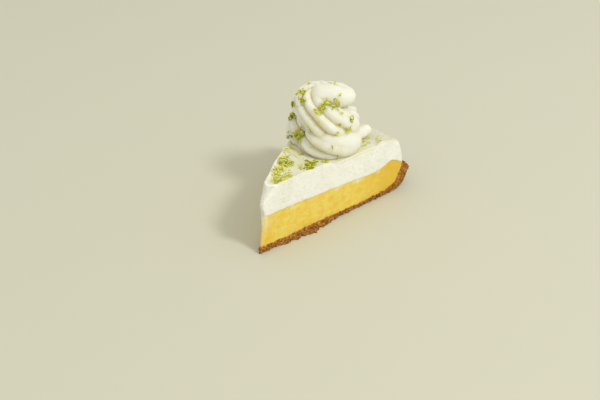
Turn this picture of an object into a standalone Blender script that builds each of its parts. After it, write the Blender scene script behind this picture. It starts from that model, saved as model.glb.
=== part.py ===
# Slice of key lime pie: a tenth of a round pie, cut through its crumb crust, lime filling and
# cream layer, with a piped swirl of cream on its outer half and shreds of lime zest.
# The point of the slice faces -X and its rim +X. The origin is on the surface that the slice
# rests on, under the middle of its length and width.

import math
import random

import bmesh
import bpy
import numpy as np
from mathutils import Matrix, Vector, noise
from mathutils.bvhtree import BVHTree

# The pie that the slice was cut from
RIM_RADIUS = 0.115
SLICE_ANGLE = 36.0
HALF_ANGLE = math.radians(SLICE_ANGLE / 2)
POINT_RADIUS = 0.0008
POINT_ROUNDING = 0.0034
CENTRE_X = -(RIM_RADIUS + POINT_RADIUS) / 2
GAP = 0.0003
# Share of the way to a cut or to an end from which a point counts as on it
AT_END = 0.999
# Largest arc at the point, as a share of the one that would fill it
ARC_LARGEST = 0.98

# Crust: its outside and inside in section, as (radius, height) from the pie's centre outwards
CRUST_OUTSIDE = [
    (0.0, 0.0), (0.020, 0.0), (0.040, 0.0), (0.060, 0.0), (0.080, 0.0), (0.092, 0.0), (0.100, 0.0),
    (0.1055, 0.0008), (0.1095, 0.0028), (0.1112, 0.0052), (0.1125, 0.0080), (0.1140, 0.0102),
    (RIM_RADIUS, 0.0120),
]
CRUST_INSIDE = [
    (0.0, 0.0034), (0.020, 0.0029), (0.040, 0.0031), (0.060, 0.0027), (0.080, 0.0026),
    (0.090, 0.0028), (0.096, 0.0033), (0.1005, 0.0045), (0.1040, 0.0062), (0.1058, 0.0088),
    (0.1072, 0.0115), (0.1082, 0.0142), (0.1093, 0.0170),
]
CRUST_CELLS = (58, 10, 3)
CRUMB_SIZE = 0.0026
CRUMB_RELIEF = 0.0006
RIM_ROUNDING = 0.0008
RIM_START = 0.96
WALL_FOOT = 0.0005
WALL_DEPTH = 0.01
# Crumbs dragged out of the cuts where the knife met the base: how far, around which radius
FLARE = 0.0031
FLARE_RADIUS = 0.032
FLARE_REACH = 0.024
FLARE_POWER = 0.8
FLARE_ENDS = (0.05, 0.94)

# Filling: its top in section, paired with the crust's inside
FILLING_CELLS = (40, 8, 4)
FILLING_TOP = [
    (0.0, 0.0222), (0.0200, 0.0219), (0.0390, 0.0209), (0.0580, 0.0205), (0.0770, 0.0190),
    (0.0860, 0.0189), (0.0910, 0.0194), (0.0955, 0.0208), (0.0985, 0.0217), (0.1008, 0.0217),
    (0.1033, 0.0207), (0.1060, 0.0192), (0.1086, 0.0179),
]

# Cream layer: radii of its top paired with the filling's top, and its height along the slice
CREAM_CELLS = (46, 14, 4)
CREAM_TOP_RADII = [
    0.0, 0.0195, 0.0385, 0.0570, 0.0755, 0.0840, 0.0890, 0.0938, 0.0970, 0.0995, 0.1015, 0.1032, 0.1044,
]
CREAM_HEIGHT = [
    (0.0, 0.0398), (0.010, 0.0395), (0.022, 0.0391), (0.032, 0.0397), (0.042, 0.0387), (0.054, 0.0375),
    (0.066, 0.0366), (0.080, 0.0364), (0.092, 0.0370), (0.098, 0.0361), (0.102, 0.0350), (0.106, 0.0334),
]
CREAM_MEAN_HEIGHT = 0.038
CREAM_DISH = 0.0013
CREAM_SIDE_BULGE = 0.0009
CREAM_WAVE = 0.0004
CREAM_WAVE_LENGTH = 0.015
CREAM_WAVE_WIDTH = 0.019

# The knife left the point blunt: (height, distance of the blunt face from the pie's centre)
BLUNT_POINT = [
    (0.0, POINT_RADIUS), (0.004, 0.0010), (0.010, 0.0020), (0.016, 0.0032), (0.024, 0.0034), (0.030, 0.0024),
    (0.034, 0.0058), (0.0395, 0.0102), (0.045, 0.0140),
]

# Swirl: a star-shaped rope of cream wound as a rising coil, clockwise from below, with its end
# folded over the top. Its own frame has the folded end towards +X.
SWIRL_DISTANCE = 0.0759
SWIRL_SEAT = 0.0360
SWIRL_TURN = math.radians(-58.5)
SEAT_RADIUS = 0.0262
SEAT_BLEND = 0.0040
ROPE_STEPS = 480
ROPE_SIDES = 96
ROPE_START = 15.0
ROPE_LOBES = 8
ROPE_GROOVE = 0.30
ROPE_SHARPNESS = 0.8
ROPE_CAP_FIRST = 0.008
ROPE_CAP_LAST = 0.025
ROPE_CAP_LEAST = 0.03
# Angle gone, coil radius, height, rope radius, shift along X, shift along Y, share of the groove
ROPE = [
    (0, 0.0225, 0.0034, 0.0034, 0.0004, 0.0020, 0.0),
    (30, 0.0135, 0.0040, 0.0042, 0.0, 0.0006, 0.0),
    (55, 0.0138, 0.0045, 0.0073, 0.0, -0.0003, 0.1),
    (80, 0.0145, 0.0048, 0.0092, -0.0002, -0.0005, 0.4),
    (105, 0.0149, 0.0050, 0.0096, -0.0003, -0.0008, 0.8),
    (137, 0.0130, 0.0054, 0.0097, -0.0003, -0.0006, 1.2),
    (170, 0.0100, 0.0064, 0.0096, -0.0003, -0.0003, 1.2),
    (200, 0.0136, 0.0080, 0.0106, -0.0005, 0.0, 1.1),
    (285, 0.0125, 0.0095, 0.0112, -0.0010, 0.0, 1.0),
    (375, 0.0080, 0.0115, 0.0097, -0.0010, 0.0, 0.6),
    (420, 0.0083, 0.0122, 0.0110, -0.0014, 0.0, 0.7),
    (465, 0.0098, 0.0152, 0.0115, -0.0020, 0.0, 1.0),
    (510, 0.0100, 0.0217, 0.0098, -0.0023, 0.0, 1.1),
    (555, 0.0100, 0.0236, 0.0096, -0.0025, 0.0, 1.1),
    (600, 0.0087, 0.0247, 0.0089, -0.0028, 0.0, 0.8),
    (645, 0.0065, 0.0255, 0.0080, -0.0030, 0.0, 0.4),
    (700, 0.0080, 0.0265, 0.0066, -0.0005, 0.0, 0.2),
    (730, 0.0088, 0.0270, 0.0050, 0.0003, 0.0010, 0.1),
    (760, 0.0055, 0.0276, 0.0058, 0.0012, 0.0010, 0.0),
    (790, 0.0020, 0.0277, 0.0076, -0.0010, 0.0, 0.0),
    (840, 0.0020, 0.0274, 0.0080, -0.0118, 0.0004, 0.0),
]
# Angle gone, and how far the lobes have turned about the rope by there
ROPE_TURNED = [
    (0, 3.4), (105, 144), (157, 190), (200, 246), (285, 358), (375, 486), (430, 562), (457, 592),
    (477, 609), (493, 619), (515, 633), (540, 662), (600, 742), (840, 1040),
]
# Grooves smoothed away or pressed deeper on a stretch: number, first and last angle gone, factor
ROPE_UNEASY = [
    (0, 0, 150, 0.0), (4, 0, 90, 0.2), (5, 0, 185, 0.2), (6, 0, 150, 0.0), (7, 0, 150, 0.0),
    (4, 370, 520, 0.0), (5, 370, 425, 0.5), (5, 440, 520, 1.5), (6, 370, 520, 0.5),
]
ROPE_BLEND = 15.0
# Where the rope's own weight spreads its foot outwards: angle gone, share of its radius
ROPE_SPREAD = [
    (0, 0.0), (100, 0.0), (137, 0.5), (170, 0.55), (200, 0.5), (250, 0.1), (285, 0.0), (840, 0.0),
]
# Core that closes the coil's middle, as (radius, height), and where it stands
CORE = [(0.0098, -0.004), (0.0098, 0.008), (0.0075, 0.016), (0.0038, 0.0225)]
CORE_SIDES = 24
CORE_SHIFT = -0.0012
SWIRL_VOXEL = 0.0007
SWIRL_TRIANGLES = 3600

# Zest: clusters of shreds
SHRED_LENGTH = (0.0018, 0.0034)
SHRED_WIDTH = 0.0009
SHRED_THICKNESS = 0.0006
SHRED_SINK = 0.00025
SHRED_SPACING = 0.0013
SHRED_TRIES = 30
SHRED_NARROWING = 0.5
ZEST_FROM_CUT = 0.0022
ZEST_FROM_SWIRL = 0.0024
ZEST_LOWEST = 0.003
NORMAL_STEP = 0.0005
MILLIMETRE = 0.001
# In millimetres: distance from the pie's centre, offset to the left of the slice's middle, spread;
# then the number of shreds
TOP_ZEST = [
    (89.9, -24.0, 0.9, 1), (85.0, -17.5, 2.0, 1), (48.6, 12.6, 1.1, 1), (51.2, 4.2, 1.8, 1),
    (38.7, 9.8, 0.8, 1), (40.8, 8.1, 0.9, 2), (43.8, -4.0, 1.0, 2), (34.3, 8.3, 0.8, 1),
    (47.7, -4.9, 1.0, 1), (36.2, 6.3, 0.8, 2), (51.5, -10.6, 1.0, 2), (37.6, 3.4, 1.0, 2),
    (31.8, 5.6, 0.8, 1), (33.2, 3.0, 0.9, 2), (28.3, 4.9, 0.6, 1), (35.5, -4.4, 0.9, 1),
    (36.6, -9.6, 1.0, 2), (29.0, 3.1, 0.8, 1), (25.0, 4.8, 0.8, 1), (25.7, 2.8, 0.7, 1),
    (28.0, -1.7, 0.6, 1), (21.9, 4.4, 0.8, 1), (22.5, 1.8, 0.8, 1), (23.9, -2.8, 0.8, 1),
    (18.7, 1.0, 0.8, 1), (20.7, -2.5, 0.7, 1), (19.9, -4.8, 0.8, 1), (17.3, -3.0, 0.8, 2),
    (14.9, -0.6, 0.7, 1), (14.1, -2.8, 0.8, 1), (94.0, 15.0, 4.2, 1), (51.0, 13.0, 2.2, 1),
    (88.0, 26.0, 2.5, 1), (40.2, -6.8, 1.1, 2), (43.0, -7.6, 1.1, 2),
]
# In millimetres: three offsets from the middle of the swirl's seat, spread; then the number
SWIRL_ZEST = [
    (-19.3, 2.4, 14.0, 1.3, 1), (-16.2, -12.6, 13.8, 0.7, 1), (-17.3, -14.0, 0.5, 1.0, 1),
    (-9.9, 13.7, 31.3, 0.9, 1), (-8.8, 12.3, 30.5, 1.0, 1), (-11.4, 14.4, 30.7, 1.1, 1),
    (-15.9, 7.9, 29.9, 0.7, 1), (-14.7, 10.9, 28.2, 0.8, 1), (-9.5, -2.4, 29.4, 0.9, 1),
    (-5.9, -7.0, 28.1, 1.1, 1), (-12.5, -3.1, 28.7, 1.0, 1), (-9.7, -4.6, 27.9, 1.1, 2),
    (-13.2, 17.6, 23.6, 0.8, 1), (-14.3, -1.5, 28.2, 0.8, 1), (-8.2, -6.9, 26.1, 2.0, 2),
    (-14.1, -3.3, 27.5, 0.9, 1), (-15.1, -0.4, 26.2, 0.7, 1), (-15.1, -1.9, 25.6, 0.8, 1),
    (-18.4, -0.8, 26.3, 0.8, 1), (-18.1, -2.3, 25.5, 0.8, 1), (-9.3, 19.7, 14.4, 0.9, 1),
    (-11.2, 19.7, 13.5, 0.9, 1), (-4.0, -15.8, 19.0, 0.9, 1), (-19.9, -3.7, 21.4, 0.5, 1),
    (-12.5, -12.2, 17.2, 0.7, 1), (-17.9, 10.7, 10.8, 1.1, 1), (-8.5, -15.2, 13.4, 1.1, 2),
    (-17.7, 14.1, 7.1, 1.0, 1), (-18.0, 8.7, 7.9, 1.1, 2), (-13.1, 19.4, 2.4, 1.1, 2),
    (-18.4, 11.2, 6.7, 1.0, 2), (-14.2, 17.0, 1.9, 1.0, 1), (-21.0, 8.6, 5.5, 1.0, 2),
    (-21.1, -12.4, 8.1, 0.6, 1), (-3.2, -7.4, 31.8, 0.6, 1), (-0.7, 14.7, 32.4, 0.7, 1),
    (5.4, 1.4, 32.9, 1.0, 1), (-8.6, -11.4, 23.6, 0.7, 1), (-18.0, 10.1, 26.1, 0.7, 1),
    (-0.5, -8.1, 22.4, 0.7, 1), (8.6, 14.9, 26.0, 2.8, 1), (9.7, 3.5, 19.8, 2.3, 1),
    (17.1, 17.1, 11.7, 2.8, 1), (3.5, 19.7, 19.5, 2.5, 1), (12.2, -7.1, 25.9, 1.8, 1),
    (-1.0, 21.0, 9.0, 2.3, 1),
]


def clear_scene():
    for thing in list(bpy.data.objects):
        bpy.data.objects.remove(thing)


def curve_through(stations, values, at):
    # Smooth curve through the given values, with its slope at each taken from its neighbours
    stations = np.asarray(stations, float)
    values = np.asarray(values, float)
    slopes = np.gradient(values, stations)
    span = np.clip(np.searchsorted(stations, at) - 1, 0, len(stations) - 2)
    width = stations[span + 1] - stations[span]
    share = (at - stations[span]) / width
    square = share * share
    cube = square * share
    return (
        (2 * cube - 3 * square + 1) * values[span]
        + (cube - 2 * square + share) * width * slopes[span]
        + (3 * square - 2 * cube) * values[span + 1]
        + (cube - square) * width * slopes[span + 1]
    )


def smooth_step(low, high, value):
    share = np.clip((value - low) / (high - low), 0.0, 1.0)
    return share * share * (3.0 - 2.0 * share)


def material(name, colour, roughness):
    made = bpy.data.materials.new(name)
    made.use_nodes = True
    shader = made.node_tree.nodes["Principled BSDF"]
    shader.inputs["Base Color"].default_value = (*colour, 1.0)
    shader.inputs["Roughness"].default_value = roughness
    shader.inputs["Metallic"].default_value = 0.0
    return made


def add_object(name, points, faces, finish):
    mesh = bpy.data.meshes.new(name)
    mesh.from_pydata([tuple(point) for point in points], [], faces)
    shape = bmesh.new()
    shape.from_mesh(mesh)
    bmesh.ops.recalc_face_normals(shape, faces=shape.faces[:])
    shape.to_mesh(mesh)
    shape.free()
    made = bpy.data.objects.new(name, mesh)
    bpy.context.scene.collection.objects.link(made)
    made.data.materials.append(finish)
    return made


def apply_modifiers(thing):
    bpy.context.view_layer.update()
    graph = bpy.context.evaluated_depsgraph_get()
    thing.data = bpy.data.meshes.new_from_object(thing.evaluated_get(graph))
    thing.modifiers.clear()


def block_surface(counts):
    # The surface of a block of counts[0] by counts[1] by counts[2] cells: its points, as shares
    # from 0 to 1 along the three directions, and its faces
    grids = np.meshgrid(*[np.arange(count + 1) for count in counts], indexing="ij")
    lattice = np.stack(grids, axis=-1).reshape(-1, 3)
    outside = ((lattice == 0) | (lattice == np.array(counts))).any(axis=1)
    number = np.full(len(lattice), -1)
    number[outside] = np.arange(outside.sum())
    number = number.reshape([count + 1 for count in counts])
    faces = []
    for axis in range(3):
        for side in (0, -1):
            sheet = np.take(number, side, axis=axis)
            corners = (sheet[:-1, :-1], sheet[1:, :-1], sheet[1:, 1:], sheet[:-1, 1:])
            faces += np.stack(corners, axis=-1).reshape(-1, 4).tolist()
    return lattice[outside] / np.array(counts, float), faces


def section_shares(profile):
    # How far along its section each point of a profile lies, from 0 to 1
    length = np.concatenate([[0.0], np.cumsum(np.hypot(*np.diff(np.array(profile), axis=0).T))])
    return length / length[-1]


def blunt_distance(height):
    return curve_through(*np.array(BLUNT_POINT).T, np.clip(height, 0.0, BLUNT_POINT[-1][0]))


def point_reach(height, angle):
    # Distance from the pie's centre to the blunt point along a ray: a face square to the slice,
    # joined to each cut by an arc that touches both
    flat = blunt_distance(height)
    sine = math.sin(HALF_ANGLE)
    arc = np.minimum(POINT_ROUNDING, ARC_LARGEST * flat * sine / (1.0 - sine))
    middle_x = flat + arc
    middle_y = (middle_x * sine - arc) / math.cos(HALF_ANGLE)
    turned = np.abs(angle)
    ahead = middle_x * np.cos(turned) + middle_y * np.sin(turned)
    curved = ahead - np.sqrt(np.maximum(ahead ** 2 - middle_x ** 2 - middle_y ** 2 + arc ** 2, 0.0))
    return np.where(flat * np.tan(turned) > middle_y, curved, flat / np.cos(turned))


def slice_points(radius, end_radius, height, side):
    # From the pie's own measures to the slice: radius from the centre, height, and side from
    # -1 on the front cut to 1 on the other one, with the point cut blunt
    angle = side * HALF_ANGLE
    blunt = point_reach(height, angle)
    reach = blunt + radius * (end_radius - blunt) / end_radius
    return np.stack([reach * np.cos(angle) + CENTRE_X, reach * np.sin(angle), height], axis=-1)


def crumbs(points, size, seed):
    shift = Vector((seed * 0.37, seed * 0.11, seed * 0.73))
    return np.array([noise.noise(Vector(point) / size + shift) for point in points])


def make_crust():
    shares, faces = block_surface(CRUST_CELLS)
    stations = section_shares(CRUST_OUTSIDE)
    along = shares[:, 0]
    side = shares[:, 1] * 2.0 - 1.0
    depth = shares[:, 2]
    outside = np.array(CRUST_OUTSIDE)
    inside = np.array(CRUST_INSIDE)
    low_radius = curve_through(stations, outside[:, 0], along)
    low_height = np.maximum(curve_through(stations, outside[:, 1], along), 0.0)
    high_radius = curve_through(stations, inside[:, 0], along)
    high_height = curve_through(stations, inside[:, 1], along)
    radius = low_radius + (high_radius - low_radius) * depth
    rounding = RIM_ROUNDING * np.sin(np.pi * depth) * smooth_step(RIM_START, 1.0, along)
    height = low_height + (high_height - low_height) * depth + rounding
    end_radius = RIM_RADIUS + (CRUST_INSIDE[-1][0] - RIM_RADIUS) * depth
    points = slice_points(radius, end_radius, height, side)
    # Crumbs push out of the cuts, most of all low down where the knife met the base
    reach = np.clip(1.0 - ((radius - FLARE_RADIUS) / FLARE_REACH) ** 2, 0.0, 1.0)
    low = (1.0 - depth) ** FLARE_POWER
    ragged = crumbs(points, CRUMB_SIZE, 3)
    end_fade = smooth_step(0.0, FLARE_ENDS[0], along) * (1.0 - smooth_step(FLARE_ENDS[1], 1.0, along))
    push = FLARE * reach * low * (0.75 + 0.5 * ragged) + CRUMB_RELIEF * (0.5 + ragged)
    push = np.where(np.abs(side) > AT_END, push * end_fade, 0.0)
    turned = side * HALF_ANGLE
    points[:, 0] -= np.abs(push) * np.sin(np.abs(turned))
    points[:, 1] += push * np.sign(side) * np.cos(turned)
    # The outside of the wall and the broken top of the rim are uneven, and stay inside the radius
    wall = (depth < WALL_DEPTH) & (low_height > WALL_FOOT) & (along < AT_END)
    dent = CRUMB_RELIEF * (0.5 + 0.5 * crumbs(points, CRUMB_SIZE, 8))
    inward = np.where(wall, dent, 0.0)
    points[:, 0] -= inward * np.cos(turned)
    points[:, 1] -= inward * np.sin(turned)
    rim = along > AT_END
    points[:, 2] += np.where(rim, 2.0 * CRUMB_RELIEF * crumbs(points, CRUMB_SIZE, 5), 0.0)
    points[:, 2] = np.maximum(points[:, 2], 0.0)
    return add_object("crumb_crust", points, faces, material("baked_crumb", (0.36, 0.17, 0.055), 0.85))


def make_filling():
    shares, faces = block_surface(FILLING_CELLS)
    stations = section_shares(CRUST_INSIDE)
    along = shares[:, 0]
    side = shares[:, 1] * 2.0 - 1.0
    depth = shares[:, 2]
    inside = np.array(CRUST_INSIDE)
    slope = np.gradient(inside, axis=0)
    slope /= np.hypot(slope[:, 0], slope[:, 1])[:, None]
    lifted = inside + GAP * np.stack([-slope[:, 1], slope[:, 0]], axis=-1)
    top = np.array(FILLING_TOP)
    low_radius = curve_through(stations, np.maximum(lifted[:, 0], 0.0), along)
    low_height = curve_through(stations, lifted[:, 1], along)
    high_radius = curve_through(stations, top[:, 0], along)
    high_height = curve_through(stations, top[:, 1], along)
    radius = low_radius + (high_radius - low_radius) * depth
    height = low_height + (high_height - low_height) * depth
    end_radius = lifted[-1, 0] + (top[-1, 0] - lifted[-1, 0]) * depth
    points = slice_points(radius, end_radius, height, side)
    return add_object("lime_filling", points, faces, material("lime_custard", (0.82, 0.58, 0.10), 0.45))


def cream_top_height(points_x, points_y):
    distance = points_x - CENTRE_X
    side = points_y / np.maximum(distance * math.tan(HALF_ANGLE), 0.001)
    radius = np.clip(np.hypot(distance, points_y), 0.0, CREAM_HEIGHT[-1][0])
    height = curve_through(*np.array(CREAM_HEIGHT).T, radius)
    dish = CREAM_DISH * (1.0 - np.clip(side, -1.0, 1.0) ** 2) * smooth_step(0.012, 0.030, distance)
    along_wave = np.sin(2.0 * np.pi * (distance + 0.4 * points_y) / CREAM_WAVE_LENGTH)
    across_wave = np.sin(2.0 * np.pi * points_y / CREAM_WAVE_WIDTH + 1.0)
    height += CREAM_WAVE * along_wave * across_wave
    height -= dish * (1.0 - smooth_step(0.085, 0.100, distance))
    from_swirl = np.hypot(distance - SWIRL_DISTANCE, points_y)
    seat = 1.0 - smooth_step(SEAT_RADIUS, SEAT_RADIUS + SEAT_BLEND, from_swirl)
    return height + (SWIRL_SEAT - GAP - height) * seat


def make_cream_layer():
    shares, faces = block_surface(CREAM_CELLS)
    stations = section_shares(FILLING_TOP)
    along = shares[:, 0]
    side = shares[:, 1] * 2.0 - 1.0
    depth = shares[:, 2]
    filling = np.array(FILLING_TOP)
    low_radius = curve_through(stations, filling[:, 0], along) + GAP * smooth_step(0.8, 1.0, along)
    low_height = curve_through(stations, filling[:, 1], along) + GAP
    high_radius = curve_through(stations, CREAM_TOP_RADII, along)
    end_low = filling[-1, 0] + GAP
    end_high = CREAM_TOP_RADII[-1]
    radius = low_radius + (high_radius - low_radius) * depth
    end_radius = end_low + (end_high - end_low) * depth
    first_height = low_height + (CREAM_MEAN_HEIGHT - low_height) * depth
    points = slice_points(radius, end_radius, first_height, side)
    top_height = cream_top_height(points[:, 0], points[:, 1])
    height = low_height + (top_height - low_height) * depth
    points = slice_points(radius, end_radius, height, side)
    turned = side * HALF_ANGLE
    bulge = CREAM_SIDE_BULGE * np.sin(np.pi * depth) * smooth_step(0.9, 1.0, along)
    points[:, 0] += bulge * np.cos(turned)
    points[:, 1] += bulge * np.sin(turned)
    return add_object("cream_layer", points, faces, material("whipped_cream", (0.83, 0.81, 0.66), 0.5))


def groove_factors(gone, groove):
    # Factor on the depth of the groove that each point lies in: 1, but for the listed stretches
    factors = np.ones((len(gone), ROPE_LOBES))
    for number, first, last, factor in ROPE_UNEASY:
        begun = smooth_step(first - ROPE_BLEND, first + ROPE_BLEND, gone)
        over = smooth_step(last - ROPE_BLEND, last + ROPE_BLEND, gone)
        factors[:, number] *= 1.0 + (factor - 1.0) * (begun - over)
    return np.take_along_axis(factors, groove, axis=1)


def rope_axes(gone, coil, shift):
    # The coil's middle line, with the directions outwards and upwards across the rope at each step
    angle = np.radians(ROPE_START - gone)
    outward = np.stack([np.cos(angle), np.sin(angle), np.zeros(len(gone))], axis=-1)
    middle = outward * coil[:, None] + shift
    ahead = np.gradient(middle, axis=0)
    ahead /= np.linalg.norm(ahead, axis=1, keepdims=True)
    outward -= ahead * (outward * ahead).sum(axis=1, keepdims=True)
    outward /= np.linalg.norm(outward, axis=1, keepdims=True)
    upward = np.cross(outward, ahead)
    upward *= np.sign(upward[:, 2:3])
    return middle, outward, upward


def rope_rings(steps, around):
    # The rope's surface: a ring of points at each step along its coil. The ring's radius falls by
    # the groove's depth between lobes, and the lobes turn about the rope as the coil turns.
    table = np.array(ROPE, float)
    gone = np.linspace(0.0, table[-1, 0], steps)
    coil, rise, thick, shift_x, shift_y, share = [
        curve_through(table[:, 0], table[:, column], gone) for column in range(1, 7)
    ]
    middle, outward, upward = rope_axes(gone, coil, np.stack([shift_x, shift_y, rise], axis=-1))
    turn = np.linspace(0.0, 2.0 * np.pi, around, endpoint=False)
    twist = np.radians(curve_through(*np.array(ROPE_TURNED, float).T, gone))
    phase = (turn[None, :] - twist[:, None]) * ROPE_LOBES / (2.0 * np.pi)
    groove = np.mod(np.floor(phase), ROPE_LOBES).astype(int)
    depth = ROPE_GROOVE * share[:, None] * groove_factors(gone, groove)
    lobe = np.abs(np.cos(np.pi * phase)) ** ROPE_SHARPNESS
    radius = thick[:, None] * (1.0 - depth * (1.0 - lobe))
    step = np.arange(steps) / (steps - 1)
    to_end = np.minimum(np.minimum(step / ROPE_CAP_FIRST, (1.0 - step) / ROPE_CAP_LAST), 1.0)
    radius *= np.maximum(np.sqrt(1.0 - (1.0 - to_end) ** 2), ROPE_CAP_LEAST)[:, None]
    foot = np.interp(gone, *np.array(ROPE_SPREAD).T)[:, None] * np.maximum(-np.sin(turn), 0.0)
    across = np.cos(turn) * np.where(np.cos(turn) > 0.0, 1.0 + foot, 1.0)
    return (
        middle[:, None, :]
        + (radius * across)[:, :, None] * outward[:, None, :]
        + radius[:, :, None] * np.sin(turn)[None, :, None] * upward[:, None, :]
    )


def ring_shell(rings):
    # Points and faces of the closed skin over a row of rings, with a point closing each end
    steps, around = rings.shape[:2]
    step, corner = np.meshgrid(np.arange(steps - 1), np.arange(around), indexing="ij")
    following = (corner + 1) % around
    quads = np.stack(
        [step * around + corner, step * around + following,
         (step + 1) * around + following, (step + 1) * around + corner], axis=-1
    ).reshape(-1, 4).tolist()
    first = steps * around
    last = first + 1
    base = (steps - 1) * around
    quads += [(first, (k + 1) % around, k) for k in range(around)]
    quads += [(last, base + k, base + (k + 1) % around) for k in range(around)]
    points = np.concatenate([rings.reshape(-1, 3), [rings[0].mean(axis=0)], [rings[-1].mean(axis=0)]])
    return points, quads


def add_modifier(thing, name, kind, **settings):
    made = thing.modifiers.new(name, kind)
    for key, value in settings.items():
        setattr(made, key, value)
    return made


def make_swirl():
    cream = bpy.data.materials["whipped_cream"]
    points, faces = ring_shell(rope_rings(ROPE_STEPS, ROPE_SIDES))
    turn = np.linspace(0.0, 2.0 * np.pi, CORE_SIDES, endpoint=False)
    ring = np.stack([np.cos(turn), np.sin(turn), np.zeros(CORE_SIDES)], axis=-1)
    core = np.stack([ring * radius + np.array([CORE_SHIFT, 0.0, height]) for radius, height in CORE])
    core_points, core_faces = ring_shell(core)
    first = len(points)
    faces += [tuple(corner + first for corner in face) for face in core_faces]
    swirl = add_object("cream_swirl", np.concatenate([points, core_points]), faces, cream)
    place = Matrix.Translation((SWIRL_DISTANCE + CENTRE_X, 0.0, SWIRL_SEAT))
    swirl.data.transform(place @ Matrix.Rotation(SWIRL_TURN, 4, "Z"))
    add_modifier(swirl, "one_skin", "REMESH", mode="VOXEL", voxel_size=SWIRL_VOXEL, adaptivity=0.0)
    add_modifier(swirl, "soften", "SMOOTH", factor=0.5, iterations=2)
    apply_modifiers(swirl)
    share = SWIRL_TRIANGLES / (2 * len(swirl.data.polygons))
    add_modifier(swirl, "fewer_faces", "DECIMATE", ratio=share, use_collapse_triangulate=True)
    apply_modifiers(swirl)
    bpy.ops.mesh.primitive_cube_add(size=0.1, location=(SWIRL_DISTANCE + CENTRE_X, 0.0, SWIRL_SEAT - 0.05))
    below = bpy.context.object
    below.display_type = "WIRE"
    add_modifier(swirl, "flat_foot", "BOOLEAN", operation="DIFFERENCE", object=below, solver="EXACT")
    apply_modifiers(swirl)
    bpy.data.objects.remove(below)
    return swirl


def shred_points(length, bend, lift):
    # A strip of zest: four corners at three stations along an arc
    points = []
    for share in (-0.5, 0.0, 0.5):
        middle = Vector((share * length, bend * length * (0.25 - share * share), lift * abs(share) * length))
        for across, up in ((-0.5, -0.5), (0.5, -0.5), (0.5, 0.5), (-0.5, 0.5)):
            narrow = 1.0 - SHRED_NARROWING * abs(share)
            points.append(middle + Vector((0.0, across * SHRED_WIDTH * narrow, up * SHRED_THICKNESS)))
    return points


def shred_faces():
    faces = [(3, 2, 1, 0), (8, 9, 10, 11)]
    for station in (0, 4):
        for corner in range(4):
            other = (corner + 1) % 4
            faces.append((station + corner, station + other, station + 4 + other, station + 4 + corner))
    return faces


def lay_shred(collection, place, normal, draw):
    length = draw.uniform(*SHRED_LENGTH)
    points = shred_points(length, draw.uniform(-0.5, 0.5), draw.uniform(-0.1, 0.25))
    spin = Matrix.Rotation(draw.uniform(0.0, 2.0 * math.pi), 4, "Z")
    stand = normal.to_track_quat("Z", "Y").to_matrix().to_4x4()
    seat = Matrix.Translation(place + normal * (SHRED_THICKNESS / 2.0 - SHRED_SINK))
    mesh = bpy.data.meshes.new("shred")
    mesh.from_pydata([seat @ stand @ spin @ point for point in points], [], shred_faces())
    shred = bpy.data.objects.new("shred", mesh)
    collection.objects.link(shred)


def fuse(thing, collection):
    bpy.context.scene.collection.children.link(collection)
    union = add_modifier(thing, "zest", "BOOLEAN", operation="UNION", solver="EXACT")
    union.operand_type = "COLLECTION"
    union.collection = collection
    apply_modifiers(thing)
    for shred in list(collection.objects):
        bpy.data.objects.remove(shred)
    bpy.data.collections.remove(collection)


def zest_clusters(table):
    # The lengths of each row in metres, and its number of shreds
    for row in table:
        yield [length * MILLIMETRE for length in row[:-1]], row[-1]


def top_spot(x, y):
    # Place and normal on the cream layer's top
    at = np.array([x, x + NORMAL_STEP, x]) + CENTRE_X
    z = cream_top_height(at, np.array([y, y, y + NORMAL_STEP]))
    normal = Vector((z[0] - z[1], z[0] - z[2], NORMAL_STEP)).normalized()
    return Vector((x + CENTRE_X, y, z[0])), normal


def far_from(place, placed):
    return all((place - other).length > SHRED_SPACING for other in placed)


def add_top_zest(cream, swirl):
    draw = random.Random(11)
    shreds = bpy.data.collections.new("top_shreds")
    skin = BVHTree.FromObject(swirl, bpy.context.evaluated_depsgraph_get())
    placed = []
    for (distance, offset, spread), count in zest_clusters(TOP_ZEST):
        for _ in range(count):
            for _ in range(SHRED_TRIES):
                x = draw.gauss(distance, spread)
                y = draw.gauss(offset, spread)
                place, normal = top_spot(x, y)
                inside = x * math.sin(HALF_ANGLE) - abs(y) * math.cos(HALF_ANGLE) > ZEST_FROM_CUT
                clear = skin.find_nearest(place)[3] > ZEST_FROM_SWIRL
                if inside and clear and far_from(place, placed):
                    placed.append(place)
                    lay_shred(shreds, place, normal, draw)
                    break
    fuse(cream, shreds)


def add_swirl_zest(swirl):
    draw = random.Random(5)
    shreds = bpy.data.collections.new("swirl_shreds")
    skin = BVHTree.FromObject(swirl, bpy.context.evaluated_depsgraph_get())
    middle = Vector((SWIRL_DISTANCE + CENTRE_X, 0.0, SWIRL_SEAT))
    placed = []
    for (*offsets, spread), count in zest_clusters(SWIRL_ZEST):
        for _ in range(count):
            for _ in range(SHRED_TRIES):
                near = middle + Vector([draw.gauss(offset, spread) for offset in offsets])
                place, normal, _, _ = skin.find_nearest(near)
                if place.z > SWIRL_SEAT + ZEST_LOWEST and far_from(place, placed):
                    placed.append(place)
                    lay_shred(shreds, place, normal, draw)
                    break
    fuse(swirl, shreds)


def main():
    clear_scene()
    make_crust()
    make_filling()
    cream = make_cream_layer()
    swirl = make_swirl()
    add_top_zest(cream, swirl)
    add_swirl_zest(swirl)
    for thing in bpy.context.scene.objects:
        thing.data.shade_smooth()
        thing.data.set_sharp_from_angle(angle=math.radians(40.0))


main()
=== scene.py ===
# Slice of key lime pie with a piped swirl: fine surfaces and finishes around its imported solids
import itertools
import math
import random

import bmesh
import bpy
import numpy as np
from mathutils import Matrix, Vector
from mathutils.bvhtree import BVHTree


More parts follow.
